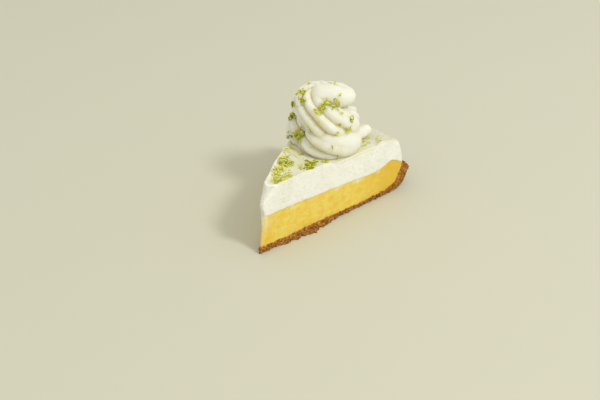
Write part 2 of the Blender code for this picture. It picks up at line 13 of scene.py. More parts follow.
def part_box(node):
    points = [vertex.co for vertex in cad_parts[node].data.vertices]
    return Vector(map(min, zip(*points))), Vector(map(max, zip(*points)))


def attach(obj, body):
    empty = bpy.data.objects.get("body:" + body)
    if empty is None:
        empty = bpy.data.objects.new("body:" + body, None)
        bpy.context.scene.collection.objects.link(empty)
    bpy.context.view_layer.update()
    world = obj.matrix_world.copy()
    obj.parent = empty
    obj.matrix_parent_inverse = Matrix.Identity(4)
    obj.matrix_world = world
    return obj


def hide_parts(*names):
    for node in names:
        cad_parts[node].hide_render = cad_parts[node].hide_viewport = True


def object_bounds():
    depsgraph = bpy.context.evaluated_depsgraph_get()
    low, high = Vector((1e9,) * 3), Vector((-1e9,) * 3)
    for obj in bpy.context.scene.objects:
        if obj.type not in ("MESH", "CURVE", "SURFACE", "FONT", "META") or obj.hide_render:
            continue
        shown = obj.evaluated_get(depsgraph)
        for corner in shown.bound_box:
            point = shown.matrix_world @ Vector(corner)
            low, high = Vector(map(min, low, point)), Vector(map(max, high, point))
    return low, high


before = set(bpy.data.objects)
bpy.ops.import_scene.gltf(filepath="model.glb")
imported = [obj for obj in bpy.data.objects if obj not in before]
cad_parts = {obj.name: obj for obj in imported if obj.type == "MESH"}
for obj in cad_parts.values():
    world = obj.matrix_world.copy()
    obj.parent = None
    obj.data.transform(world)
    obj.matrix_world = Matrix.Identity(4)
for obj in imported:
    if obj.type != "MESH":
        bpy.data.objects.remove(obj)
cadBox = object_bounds()
print("frame loaded:", sorted(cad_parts))

# The round pie that the slice was cut from. Its centre and rim come from the frame's own box.
pie = {
    "halfAngle": math.radians(18.0),
    "pointRadius": 0.0008,
    "pointRounding": 0.0034,
    "arcMost": 0.98,  # of the largest arc that the blunt point has room for
    # height, distance of the blunt point from the pie's centre
    "blunt": [
        (0.0, 0.0008), (0.004, 0.0010), (0.010, 0.0020), (0.016, 0.0032), (0.024, 0.0034), (0.030, 0.0024),
        (0.034, 0.0058), (0.0395, 0.0102), (0.045, 0.0140),
    ],
    "crowding": 0.55,  # how much closer together the points of a skin stand at its two cuts
    "cornerAngle": math.radians(50.0),  # wider corners between two faces are shaded as corners
}
centreX = cadBox[0].x - pie["pointRadius"]
rimRadius = cadBox[1].x - centreX
sine, cosine = math.sin(pie["halfAngle"]), math.cos(pie["halfAngle"])


# Shared shapes

def curveThrough(stations, values, at):
    # Cubic between neighbouring values, each with the slope that its own neighbours give it
    stations = np.asarray(stations, float)
    values = np.asarray(values, float)
    slopes = np.gradient(values, stations)
    span = np.clip(np.searchsorted(stations, at) - 1, 0, len(stations) - 2)
    width = stations[span + 1] - stations[span]
    share = (at - stations[span]) / width
    square = share * share
    cube = square * share
    return (
        (2 * cube - 3 * square + 1) * values[span]
        + (cube - 2 * square + share) * width * slopes[span]
        + (3 * square - 2 * cube) * values[span + 1]
        + (cube - square) * width * slopes[span + 1]
    )


def smoothStep(low, high, value):
    # 0 below low, 1 above high, an S between
    share = np.clip((value - low) / (high - low), 0.0, 1.0)
    return share * share * (3.0 - 2.0 * share)


def fade(value, share, first, last):
    # From nothing at the first value to the share at the last; a fade's settings are these three
    return share * smoothStep(first, last, value)


def hill(value, middle, wide):
    # 1 at the middle, down along a parabola to 0 at the half width
    return np.clip(1.0 - ((value - middle) / wide) ** 2, 0.0, 1.0)


def mixed(low, high, share):
    # Low at share 0, high at 1
    return low + (high - low) * share


def sectionShares(profile):
    # Length gone at each point of a section, as a share of its whole length
    gone = np.concatenate([[0.0], np.cumsum(np.hypot(*np.diff(np.array(profile), axis=0).T))])
    return gone / gone[-1]


def sectionAt(section, stations, along):
    # Radius and height of a section at those shares of its length
    return [curveThrough(stations, column, along) for column in np.transpose(section)]


def cellHash(cells, seed):
    # A number from 0 to 1 for each cell: the fraction of a large sine
    large = np.sin(cells @ np.array([127.1, 311.7, 74.7]) + seed * 19.19) * 43758.5453
    return large - np.floor(large)


def softNoise(points, size, seed):
    # Corner numbers of the cell that holds each point, blended smoothly across it, from -1 to 1
    scaled = points / size
    cell = np.floor(scaled)
    inside = scaled - cell
    blend = inside * inside * (3.0 - 2.0 * inside)
    total = np.zeros(len(points))
    for corner in itertools.product((0, 1), repeat=3):
        weight = np.prod(np.where(np.array(corner) == 1, blend, 1.0 - blend), axis=1)
        total += weight * cellHash(cell + corner, seed)
    return total * 2.0 - 1.0


def relief(points, size, height, seed):
    # Soft noise as a height either side of 0
    return height * softNoise(points, size, seed)


def nearestSeed(points, size, seed):
    # Distance to the nearest of a cloud of jittered seeds, one in each cell, and that seed's own number
    scaled = points / size
    cell = np.floor(scaled)
    nearest = np.full(len(points), 9.0)
    number = np.zeros(len(points))
    for step in itertools.product((-1, 0, 1), repeat=3):
        near = cell + step
        centre = near + np.stack([cellHash(near, seed + k) for k in (1, 2, 3)], axis=1)
        gap = np.linalg.norm(scaled - centre, axis=1)
        closer = gap < nearest
        number = np.where(closer, cellHash(near, seed + 4), number)
        nearest = np.where(closer, gap, nearest)
    return nearest, number


def poreShare(points, pore, seed):
    # 1 in each pore's middle, 0 past its edge, with a pore only at seeds of high number
    spacing, edge, middle, least = pore
    gap, number = nearestSeed(points, spacing, seed)
    return smoothStep(edge, middle, gap) * (number > least)


def sliceSkin(counts):
    # Skin of a block of cells: shares from 0 to 1 along the slice and up it, side from -1 on the
    # front cut to 1 on the other with its stations closer together at the cuts, and its faces
    grids = np.meshgrid(*[np.arange(count + 1) for count in counts], indexing="ij")
    lattice = np.stack(grids, axis=-1).reshape(-1, 3)
    outer = ((lattice == 0) | (lattice == np.array(counts))).any(axis=1)
    number = np.full(len(lattice), -1)
    number[outer] = np.arange(outer.sum())
    number = number.reshape([count + 1 for count in counts])
    faces = []
    for axis in range(3):
        for end in (0, -1):
            sheet = np.take(number, end, axis=axis)
            corners = [sheet[:-1, :-1], sheet[1:, :-1], sheet[1:, 1:], sheet[:-1, 1:]]
            if (end == -1) == (axis == 1):
                corners.reverse()
            faces.append(np.stack(corners, axis=-1).reshape(-1, 4))
    shares = lattice[outer] / np.array(counts, float)
    across = shares[:, 1] * 2.0 - 1.0
    side = mixed(across, np.sin(across * math.pi / 2.0), pie["crowding"])
    return shares[:, 0], side, shares[:, 2], np.concatenate(faces)


def bluntDistance(height):
    # How far the blunt point stands from the pie's axis at each height
    heights, distances = np.transpose(pie["blunt"])
    return curveThrough(heights, distances, np.clip(height, 0.0, heights[-1]))


def pointReach(height, angle):
    # Distance from the pie's axis to the blunt point along a ray: a face square to the slice, joined
    # to each cut by an arc that touches both
    flat = bluntDistance(height)
    arc = np.minimum(pie["pointRounding"], pie["arcMost"] * flat * sine / (1.0 - sine))
    middleX = flat + arc
    middleY = (middleX * sine - arc) / cosine
    turned = np.abs(angle)
    ahead = middleX * np.cos(turned) + middleY * np.sin(turned)
    curved = ahead - np.sqrt(np.maximum(ahead ** 2 - middleX ** 2 - middleY ** 2 + arc ** 2, 0.0))
    return np.where(flat * np.tan(turned) > middleY, curved, flat / np.cos(turned))


def slicePoints(radius, endRadius, height, side):
    # Polar about the pie's centre: the angle is side times the half angle, and the radius starts at
    # the blunt point's distance for that height
    angle = side * pie["halfAngle"]
    blunt = pointReach(height, angle)
    reach = blunt + radius * (endRadius - blunt) / endRadius
    return np.stack([reach * np.cos(angle) + centreX, reach * np.sin(angle), height], axis=1)


def toCentre(points):
    # Distance from the pie's upright axis
    return np.hypot(points[:, 0] - centreX, points[:, 1])


def cutDistance(points):
    # Distance inwards from the nearer cut: radius times the sine of the angle left to it
    turned = np.arctan2(np.abs(points[:, 1]), points[:, 0] - centreX)
    return toCentre(points) * np.sin(pie["halfAngle"] - turned)


def onCut(side):
    # Whether each point lies on one of the two cuts
    return np.abs(side) == 1.0


def pushFromCut(points, side, reach):
    # Moves points square out of the cut on their side
    points[:, 0] -= reach * sine
    points[:, 1] += reach * cosine * np.sign(side)


def makeMesh(name, points, faces):
    mesh = bpy.data.meshes.new(name)
    mesh.vertices.add(len(points))
    mesh.vertices.foreach_set("co", points.astype(np.float32).ravel())
    mesh.loops.add(faces.size)
    mesh.loops.foreach_set("vertex_index", faces.astype(np.int32).ravel())
    mesh.polygons.add(len(faces))
    mesh.polygons.foreach_set("loop_start", np.arange(0, faces.size, faces.shape[1], dtype=np.int32))
    mesh.update(calc_edges=True)
    mesh.shade_smooth()
    return mesh


def readPoints(mesh, what="co"):
    values = np.zeros(len(mesh.vertices) * 3, np.float32)
    mesh.vertices.foreach_get(what, values)
    return values.reshape(-1, 3).astype(float)


def movePoints(mesh, points):
    mesh.vertices.foreach_set("co", points.astype(np.float32).ravel())
    mesh.update()


def addValues(mesh, **values):
    # Numbers that the points carry, for the material to read
    for name, value in values.items():
        made = mesh.attributes.new(name, "FLOAT", "POINT")
        made.data.foreach_set("value", np.broadcast_to(value, len(mesh.vertices)).astype(np.float32))


def addObject(name, data):
    made = bpy.data.objects.new(name, data)
    bpy.context.scene.collection.objects.link(made)
    return made


def addPiece(name, mesh, finish, replaced=None):
    piece = addObject(name, mesh)
    mesh.materials.append(finish)
    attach(piece, "root")
    if replaced:
        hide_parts(replaced)
    print(name, "made:", len(mesh.polygons), "faces")
    return piece


# Materials

class Wire:
    # A socket of a material, so that shader sums read as sums
    def __init__(self, finish, socket):
        self.finish = finish
        self.socket = socket

    def sum(self, operation, first, second):
        return self.finish.node("ShaderNodeMath", {"operation": operation}, {0: first, 1: second})

    def __add__(self, other):
        return self.sum("ADD", self, other)

    def __sub__(self, other):
        return self.sum("SUBTRACT", self, other)

    def __rsub__(self, other):
        return self.sum("SUBTRACT", other, self)

    def __mul__(self, other):
        return self.sum("MULTIPLY", self, other)

    __radd__ = __add__
    __rmul__ = __mul__


class Finish:
    # A material being built round its Principled shader
    def __init__(self, name, constants):
        self.material = bpy.data.materials.new(name)
        self.material.use_nodes = True
        self.tree = self.material.node_tree
        self.shader = self.tree.nodes["Principled BSDF"]
        for socket, value in constants.items():
            self.shader.inputs[socket].default_value = value
        self.place = self.node("ShaderNodeTexCoord", output="Object")

    def node(self, kind, settings=None, inputs=None, output=0):
        made = self.tree.nodes.new(kind)
        for key, value in (settings or {}).items():
            if key == "stops":
                self.setStops(made.color_ramp.elements, value)
            else:
                setattr(made, key, value)
        for key, value in (inputs or {}).items():
            self.feed(made.inputs[key], value)
        return Wire(self, made.outputs[output])

    def setStops(self, elements, stops):
        while len(elements) < len(stops):
            elements.new(0.5)
        for element, (position, colour) in zip(elements, stops):
            element.position = position
            element.color = colour

    def feed(self, socket, value):
        if isinstance(value, Wire):
            self.tree.links.new(value.socket, socket)
        else:
            socket.default_value = value

    def noise(self, size, detail=2.0, roughness=0.5):
        return self.node("ShaderNodeTexNoise", {}, {
            "Vector": self.place, "Scale": 1.0 / size, "Detail": detail, "Roughness": roughness,
        }, "Fac")

    def cells(self, size):
        return self.node("ShaderNodeTexVoronoi", {}, {"Vector": self.place, "Scale": 1.0 / size}, "Distance")

    def value(self, name):
        return self.node("ShaderNodeAttribute", {"attribute_name": name}, output="Fac")

    def step(self, value, low, high):
        return self.node("ShaderNodeMapRange", {"interpolation_type": "SMOOTHSTEP"}, {
            "Value": value, "From Min": low, "From Max": high,
        })

    def patches(self, noise, low, high):
        return self.step(self.noise(*noise), low, high)

    def bubbles(self, size, low, high):
        return self.step(self.cells(size), low, high)

    def mix(self, share, first, second):
        return self.node("ShaderNodeMix", {"data_type": "RGBA"}, {0: share, 6: first, 7: second}, 2)

    def ramp(self, stops, tone):
        return self.node("ShaderNodeValToRGB", {"stops": stops}, {"Fac": tone}, "Color")

    def bump(self, height, distance):
        bump = self.node("ShaderNodeBump", {}, {"Height": height, "Distance": distance}, "Normal")
        self.feed(self.shader.inputs["Normal"], bump)

    def paint(self, socket, value):
        self.feed(self.shader.inputs[socket], value)


def shade(red, green, blue):
    # A colour as a screen shows it, 0 to 255, turned to the linear one that shaders use
    parts = np.array([red, green, blue]) / 255.0
    linear = np.where(parts <= 0.04045, parts / 12.92, ((parts + 0.055) / 1.055) ** 2.4)
    return (*linear.tolist(), 1.0)


cream = {
    "light": shade(228, 227, 214),
    "warm": shade(224, 221, 193),
    # lighter copies of the two tones for the cuts and the top beside them: painted light
    "litCutPale": shade(243, 242, 233),
    "litCutWarm": shade(238, 237, 224),
    # painted shade in the cut's bubbles and fine stipple
    "pore": shade(216, 211, 186),
    # size, detail and roughness of a noise, then where its step starts and ends
    "broad": ((0.009, 3.0), 0.38, 0.68),
    "sparse": ((0.004,), 0.46, 0.62),
    "bubbles": (0.0009, 0.34, 0.12),
    "stipple": ((0.0015, 2.0, 0.6), 0.5, 0.72),
    "fine": (0.0007, 4.0, 0.6),
    "dull": (0.002, 3.0),
    # what the points of a piece carry, how far it colours, colour: painted shade in hollows and pores, zest
    # juice with painted shade on edges, stains with painted shade at the swirl's foot, and painted shade
    "over": [
        ("hollow", 0.75, shade(217, 208, 152)), ("juice", 1.0, shade(214, 208, 140)),
        ("stain", 1.0, shade(226, 196, 112)), ("worn", 1.0, shade(194, 192, 170)),
    ],
    "relief": 0.00016,
    # less far in the layer, or its lower edge would darken over the filling
    "layerScatter": 0.0012,
    "swirlScatter": 0.0075,
}


def creamFinish(name, scatter):
    finish = Finish(name, {
        "Subsurface Weight": 0.9, "Subsurface Radius": (1.0, 0.95, 0.8), "Subsurface Scale": scatter,
        "Specular IOR Level": 0.3,
    })
    broad = finish.patches(*cream["broad"])
    bubbles = finish.bubbles(*cream["bubbles"]) * finish.patches(*cream["sparse"])
    stipple = finish.patches(*cream["stipple"])
    fine = finish.noise(*cream["fine"])
    cut = finish.value("cut")
    colour = finish.mix(broad, cream["light"], cream["warm"])
    # painted light: the cuts take the lighter copies
    colour = finish.mix(cut, colour, finish.mix(broad, cream["litCutPale"], cream["litCutWarm"]))
    # painted shade in the cut's bubbles and stipple
    colour = finish.mix((bubbles * 0.5 + stipple * 0.4) * cut, colour, cream["pore"])
    # the carried values bring in painted shade in hollows, pores, edges, the point and the swirl's foot,
    # besides zest juice and stains
    for carried, share, tone in cream["over"]:
        colour = finish.mix(finish.value(carried) * share, colour, tone)
    finish.paint("Base Color", colour)
    finish.paint("Roughness", 0.42 + 0.2 * finish.noise(*cream["dull"]))
    finish.bump(fine * 0.5 - bubbles * (0.25 + cut), cream["relief"])
    return finish.material


custard = {
    "pale": shade(237, 212, 101),
    "deep": shade(233, 196, 64),
    "ripe": shade(224, 182, 44),
    "smear": shade(240, 233, 196),
    # painted shade in the filling's pores
    "pore": shade(198, 150, 32),
    "mottle": (0.0035, 4.0, 0.6),
    "deepAt": (0.35, 0.7),
    "grain": (0.0009, 4.0, 0.6),
    "bubbles": (0.0013, 0.22, 0.08),
    "sparse": ((0.003,), 0.5, 0.62),
    "dull": (0.0016, 3.0),
    "relief": 0.00014,
}


def custardFinish():
    finish = Finish("limeCustard", {
        "Subsurface Weight": 0.25, "Subsurface Radius": (1.0, 0.7, 0.15), "Subsurface Scale": 0.0025,
        "Specular IOR Level": 0.45,
    })
    mottle = finish.noise(*custard["mottle"])
    grain = finish.noise(*custard["grain"])
    pores = finish.bubbles(*custard["bubbles"]) * finish.patches(*custard["sparse"])
    colour = finish.mix(finish.step(mottle, *custard["deepAt"]), custard["pale"], custard["deep"])
    colour = finish.mix(finish.value("ripe"), colour, custard["ripe"])
    # painted shade in the pores
    colour = finish.mix(pores * 0.6, colour, custard["pore"])
    colour = finish.mix(finish.value("smear"), colour, custard["smear"])
    finish.paint("Base Color", colour)
    finish.paint("Roughness", 0.34 + 0.22 * finish.noise(*custard["dull"]))
    finish.bump(grain * 0.6 + mottle * 0.6 - pores, custard["relief"])
    return finish.material


baked = {
    "stops": [
        (0.0, shade(92, 48, 10)), (0.3, shade(144, 88, 26)), (0.65, shade(180, 122, 48)),
        (1.0, shade(214, 168, 96)),
    ],
    # painted shade between the crumbs
    "crevice": shade(84, 42, 8),
    "speckle": (0.0007, 4.0, 0.65),
    "grit": 0.0003,
    "relief": 0.0002,
}


def crumbFinish():
    finish = Finish("bakedCrumb", {"Specular IOR Level": 0.25})
    speckle = finish.noise(*baked["speckle"])
    colour = finish.ramp(baked["stops"], finish.value("tone") * 0.75 + speckle * 0.5 - 0.14)
    # painted shade in the crevices between crumbs
    colour = finish.mix(finish.value("crevice") * 0.7, colour, baked["crevice"])
    finish.paint("Base Color", colour)
    finish.paint("Roughness", 0.7 + 0.2 * speckle)
    finish.bump(speckle + finish.noise(baked["grit"]) * 0.5, baked["relief"])
    return finish.material


peel = {
    "stops": [
        (0.0, shade(104, 108, 2)), (0.3, shade(166, 170, 12)), (0.65, shade(216, 216, 46)),
        (1.0, shade(244, 240, 140)),
    ],
    "speckle": (0.0004, 3.0, 0.6),
    "relief": 0.00012,
}


def zestFinish():
    finish = Finish("limeZest", {
        "Subsurface Weight": 0.1, "Subsurface Radius": (0.9, 1.0, 0.2), "Subsurface Scale": 0.0004,
        "Specular IOR Level": 0.1, "Roughness": 0.6,
    })
    speckle = finish.noise(*peel["speckle"])
    finish.paint("Base Color", finish.ramp(peel["stops"], finish.value("tone") + speckle * 0.3 - 0.15))
    finish.bump(speckle, peel["relief"])
    return finish.material


layerMaterial = creamFinish("spreadCream", cream["layerScatter"])
swirlMaterial = creamFinish("pipedCream", cream["swirlScatter"])
custardMaterial = custardFinish()
crumbMaterial = crumbFinish()
zestMaterial = zestFinish()
print("materials made")


# Crumb crust: a bed of crumbs turned up into the rim

crust = {
    "cells": (300, 100, 12),
    # radius from the pie's centre, height
    "outside": [
        (0.0, 0.0), (0.020, 0.0), (0.040, 0.0), (0.060, 0.0), (0.080, 0.0), (0.092, 0.0), (0.100, 0.0),
        (0.1055, 0.0008), (0.1095, 0.0028), (0.1112, 0.0052), (0.1125, 0.0080), (0.1140, 0.0102),
        (0.1150, 0.0120),
    ],
    "inside": [
        (0.0, 0.0034), (0.020, 0.0029), (0.040, 0.0031), (0.060, 0.0027), (0.080, 0.0026),
        (0.090, 0.0028), (0.096, 0.0033), (0.1005, 0.0045), (0.1040, 0.0062), (0.1058, 0.0088),
        (0.1072, 0.0115), (0.1082, 0.0142), (0.1093, 0.0170),
    ],
    "rimRounding": (0.0008, 0.96, 1.0),
    # how the foot of the cuts flares out: how far, radius, half width, power of its fall
    "flare": (0.0031, 0.032, 0.024, 0.8),
    "ragged": (0.0026, 0.75, 0.5),  # size of its unevenness, mean and swing
    # crumbs that stick out of the front cut: radius, how far, half width
    "lumps": [
        (0.0240, 0.0007, 0.0016), (0.0366, 0.0016, 0.0012), (0.0545, 0.0009, 0.0013),
        (0.0640, 0.0008, 0.0015),
    ],
    "lumpFall": 0.6,
    # crumbs of two sizes pressed together: seed, spacing, height, level between them, share of the
    # tone, and the fade of the painted shade in their crevices
    "grains": [
        (3, 0.0019, 0.00070, 0.7, 0.55, 0.7, 0.75, 0.25),
        (11, 0.0009, 0.00034, 0.6, 0.45, 0.3, 0.6, 0.1),
    ],
    "grainReach": 0.85,  # half width of a crumb's dome for its spacing
    "flat": 1e-6,  # what lies lower is pressed flat
}


def crustSurface():
    # Outside and inside sections joined by straight lines, swept round the pie's axis; the cuts
    # flare outwards low down
    along, side, depth, faces = sliceSkin(crust["cells"])
    stations = sectionShares(crust["outside"])
    lowRadius, lowHeight = sectionAt(crust["outside"], stations, along)
    highRadius, highHeight = sectionAt(crust["inside"], stations, along)
    radius = mixed(lowRadius, highRadius, depth)
    height = mixed(np.maximum(lowHeight, 0.0), highHeight, depth)
    height += fade(along, *crust["rimRounding"]) * np.sin(np.pi * depth)
    endRadius = mixed(rimRadius, crust["inside"][-1][0], depth)
    points = slicePoints(radius, endRadius, height, side)
    far, middle, wide, power = crust["flare"]
    size, mean, swing = crust["ragged"]
    reach = far * hill(radius, middle, wide) * (1.0 - depth) ** power
    reach *= mean + swing * softNoise(points, size, 3)
    for middle, far, wide in crust["lumps"]:
        reach += far * hill(radius, middle, wide) * (1.0 - crust["lumpFall"] * depth) * (side < 0.0)
    pushFromCut(points, side, reach * onCut(side))
    return points, faces


def makeCrust():
    # Domes of crumbs lift every face along its normal
    points, faces = crustSurface()
    mesh = makeMesh("crumbCrust", points, faces)
    lift = tone = crevice = 0.0
    for seed, size, tall, level, share, *dark in crust["grains"]:
        gap, number = nearestSeed(points, size, seed)
        dome = np.sqrt(hill(gap, 0.0, crust["grainReach"]))
        lift = lift + tall * (dome - level)
        tone = tone + share * number
        # painted shade where the domes fall low between crumbs
        crevice = crevice + fade(dome, *dark)
    moved = points + readPoints(mesh, "normal") * lift[:, None]
    moved[:, 2] = np.where(points[:, 2] < crust["flat"], 0.0, np.maximum(moved[:, 2], 0.0))
    movePoints(mesh, moved)
    addValues(mesh, tone=tone, crevice=crevice)
    return addPiece("crumbCrust", mesh, crumbMaterial, "crumb_crust")


# Loose crumbs held on the crust's cuts, wall and rim

crumbs = {
    "count": 2600,
    "seed": 21,
    "radius": (0.00022, 0.00062),
    "smaller": 2.2,  # power that makes small ones common
    "uneven": 0.5,
    "stretch": 0.6,
    "sunk": 0.25,
    # near a cut or past the wall's radius, but only past the rim's over the crust's inside, and on
    # no face that looks further down
    "nearCut": 0.0006,
    "wall": 0.1075,
    "over": 0.0002,
    "rim": 0.1085,
    "down": -0.6,
}


def ballShape():
    # Twelve corners of an icosahedron from three golden rectangles, and its twenty faces
    golden = (1.0 + 5.0 ** 0.5) / 2.0
    corners = []
    for one, other in itertools.product((-1.0, 1.0), (-golden, golden)):
        corners += [(0.0, one, other), (one, other, 0.0), (other, 0.0, one)]
    corners = np.array(corners)
    faces = []
    for trio in itertools.combinations(range(12), 3):
        spots = corners[list(trio)]
        if all(abs(np.linalg.norm(spots[a] - spots[b]) - 2.0) < 0.01 for a, b in ((0, 1), (1, 2), (0, 2))):
            outward = np.dot(np.cross(spots[1] - spots[0], spots[2] - spots[0]), spots.sum(axis=0)) > 0.0
            faces.append(trio if outward else trio[::-1])
    return corners / np.linalg.norm(corners[0]), np.array(faces)


def turnMatrices(draw, count):
    # A random turn for each, from a random unit quaternion
    quaternions = draw.normal(size=(4, count))
    w, x, y, z = quaternions / np.linalg.norm(quaternions, axis=0)
    rows = [
        [1 - 2 * (y * y + z * z), 2 * (x * y - z * w), 2 * (x * z + y * w)],
        [2 * (x * y + z * w), 1 - 2 * (x * x + z * z), 2 * (y * z - x * w)],
        [2 * (x * z - y * w), 2 * (y * z + x * w), 1 - 2 * (x * x + y * y)],
    ]
    return np.moveaxis(np.array(rows), -1, 0)


def makeCrumbs(crustMesh):
    # Uneven balls, each turned its own way, sunk into points drawn from the crust's
    draw = np.random.default_rng(crumbs["seed"])
    count = crumbs["count"]
    points = readPoints(crustMesh)
    normals = readPoints(crustMesh, "normal")
    radius = toCentre(points)
    insideTop = np.interp(radius, *np.transpose(crust["inside"]))
    shown = (cutDistance(points) < crumbs["nearCut"]) | (radius > crumbs["wall"])
    shown &= (points[:, 2] < insideTop + crumbs["over"]) | (radius > crumbs["rim"])
    shown &= normals[:, 2] > crumbs["down"]
    chosen = draw.choice(np.flatnonzero(shown), count)
    size = mixed(*crumbs["radius"], draw.random(count) ** crumbs["smaller"])
    ball, faces = ballShape()
    uneven = 1.0 + crumbs["uneven"] * (draw.random((count, 12)) - 0.5)
    stretch = 1.0 + crumbs["stretch"] * (draw.random((count, 1, 3)) - 0.5)
    shapes = ball * uneven[:, :, None] * stretch * size[:, None, None]
    shapes = np.einsum("nij,nkj->nki", turnMatrices(draw, count), shapes)
    middle = points[chosen] + normals[chosen] * (size * (1.0 - 2.0 * crumbs["sunk"]))[:, None]
    placed = (shapes + middle[:, None]).reshape(-1, 3)
    placed[:, 2] = np.maximum(placed[:, 2], 0.0)
    mesh = makeMesh("crumbs", placed, (faces + 12 * np.arange(count)[:, None, None]).reshape(-1, 3))
    mesh.shade_flat()
    addValues(mesh, tone=np.repeat(draw.random(count), 12), crevice=0.0)
    return addPiece("crumbs", mesh, crumbMaterial)


# Lime filling: fills the crust, its cuts dragged by the knife

filling = {
    "cells": (300, 56, 40),
    "top": [
        (0.0, 0.0222), (0.0200, 0.0219), (0.0390, 0.0209), (0.0580, 0.0205), (0.0770, 0.0190),
        (0.0860, 0.0189), (0.0910, 0.0194), (0.0955, 0.0208), (0.0985, 0.0217), (0.1008, 0.0217),
        (0.1033, 0.0207), (0.1060, 0.0192), (0.1086, 0.0179),
    ],
    "sink": 0.0003,
    "reach": (0.0006, 1.0, 0.9),  # up into the cream
    # marks of the knife: size each way, height
    "drag": ((0.0040, 0.0040, 0.0012), 0.00010),
    "ripple": (0.0110, 0.00014),
    # spacing, edge and middle for that spacing, least number of a seed that has one
    "pore": (0.0023, 0.24, 0.05, 0.72),
    "poreDepth": 0.00030,
    # single pits in the front cut: radius, height, half width, depth; their wall in half widths
    "pits": [
        (0.0506, 0.0079, 0.0008, 0.0006), (0.0745, 0.0120, 0.0006, 0.0004), (0.0300, 0.0140, 0.0005, 0.0004),
    ],
    "pitWall": (1.0, 0.2),
    # fades to a riper yellow towards the rim, the point and the crust
    "ripeRim": (0.75, 0.070, 0.100),
    "ripePoint": (0.35, 0.012, 0.004),
    "ripeCrust": (0.5, 0.0016, 0.0),
    "mottle": (0.008, 0.15),
    "streak": (0.0016, 0.0016, 0.0064),
    # cream dragged over the cuts: fade down from the top, how far streaks shift it, size and fade of
    # its patches
    "smear": (0.7, 0.0030, 0.0),
    "smearShift": 0.0012,
    "patchSize": 0.0045,
    "patch": (1.0, 0.1, 0.7),
    # cream on the point, high up and low down: fade along the slice, fade up it, shift by streaks
    "films": [
        ((0.8, 0.0110, 0.0030), (1.0, 0.0110, 0.0200), 0.003),
        ((0.24, 0.0050, 0.0030), (1.0, 0.0, 0.0060), 0.0),
    ],
    "filmStreak": (0.7, 0.5),  # mean, swing
    "smearMost": 0.9,
}


def fillingSurface():
    # The crust's inside, sunk a little into it, joined to the filling's own top by straight lines
    along, side, depth, faces = sliceSkin(filling["cells"])
    sunk = np.array(crust["inside"])
    stations = sectionShares(sunk)
    slope = np.gradient(sunk, axis=0)
    slope /= np.hypot(slope[:, 0], slope[:, 1])[:, None]
    sunk -= filling["sink"] * np.stack([-slope[:, 1], slope[:, 0]], axis=1)
    sunk[:, 0] = np.maximum(sunk[:, 0], 0.0)
    lowRadius, lowHeight = sectionAt(sunk, stations, along)
    highRadius, highHeight = sectionAt(filling["top"], stations, along)
    height = mixed(lowHeight, highHeight + fade(along, *filling["reach"]), depth)
    endRadius = mixed(sunk[-1, 0], filling["top"][-1][0], depth)
    return slicePoints(mixed(lowRadius, highRadius, depth), endRadius, height, side), side, along, faces


def makeFilling():
    points, side, along, faces = fillingSurface()
    mesh = makeMesh("limeFilling", points, faces)
    radius, height = toCentre(points), points[:, 2]
    lift = relief(points, *filling["drag"], 7) + relief(points, *filling["ripple"], 9)
    lift -= filling["poreDepth"] * poreShare(points, filling["pore"], 31)
    for middle, up, wide, deep in filling["pits"]:
        away = np.hypot(radius - middle, height - up) / wide
        lift -= fade(away, deep, *filling["pitWall"]) * (side < 0.0)
    lift *= onCut(side) | (along == 0.0)
    movePoints(mesh, points + readPoints(mesh, "normal") * lift[:, None])
    mesh.set_sharp_from_angle(angle=pie["cornerAngle"])
    underTop = np.interp(radius, *np.transpose(filling["top"])) - height
    overCrust = height - np.interp(radius, *np.transpose(crust["inside"]))
    ripe = fade(radius, *filling["ripeRim"]) + fade(radius, *filling["ripePoint"])
    ripe += fade(overCrust, *filling["ripeCrust"]) + relief(points, *filling["mottle"], 13)
    streak = softNoise(points, filling["streak"], 17)
    smear = fade(underTop - filling["smearShift"] * streak, *filling["smear"])
    smear *= fade(softNoise(points, filling["patchSize"], 19), *filling["patch"])
    mean, swing = filling["filmStreak"]
    for inwards, upwards, shift in filling["films"]:
        film = fade(radius, *inwards) * fade(height + shift * streak, *upwards)
        smear += film * (mean + swing * streak)
    addValues(mesh, ripe=np.clip(ripe, 0.0, 1.0), smear=np.clip(smear, 0.0, filling["smearMost"]))
    return addPiece("limeFilling", mesh, custardMaterial, "lime_filling")


# Cream layer: spread over the filling, with the swirl's seat pressed into its outer half

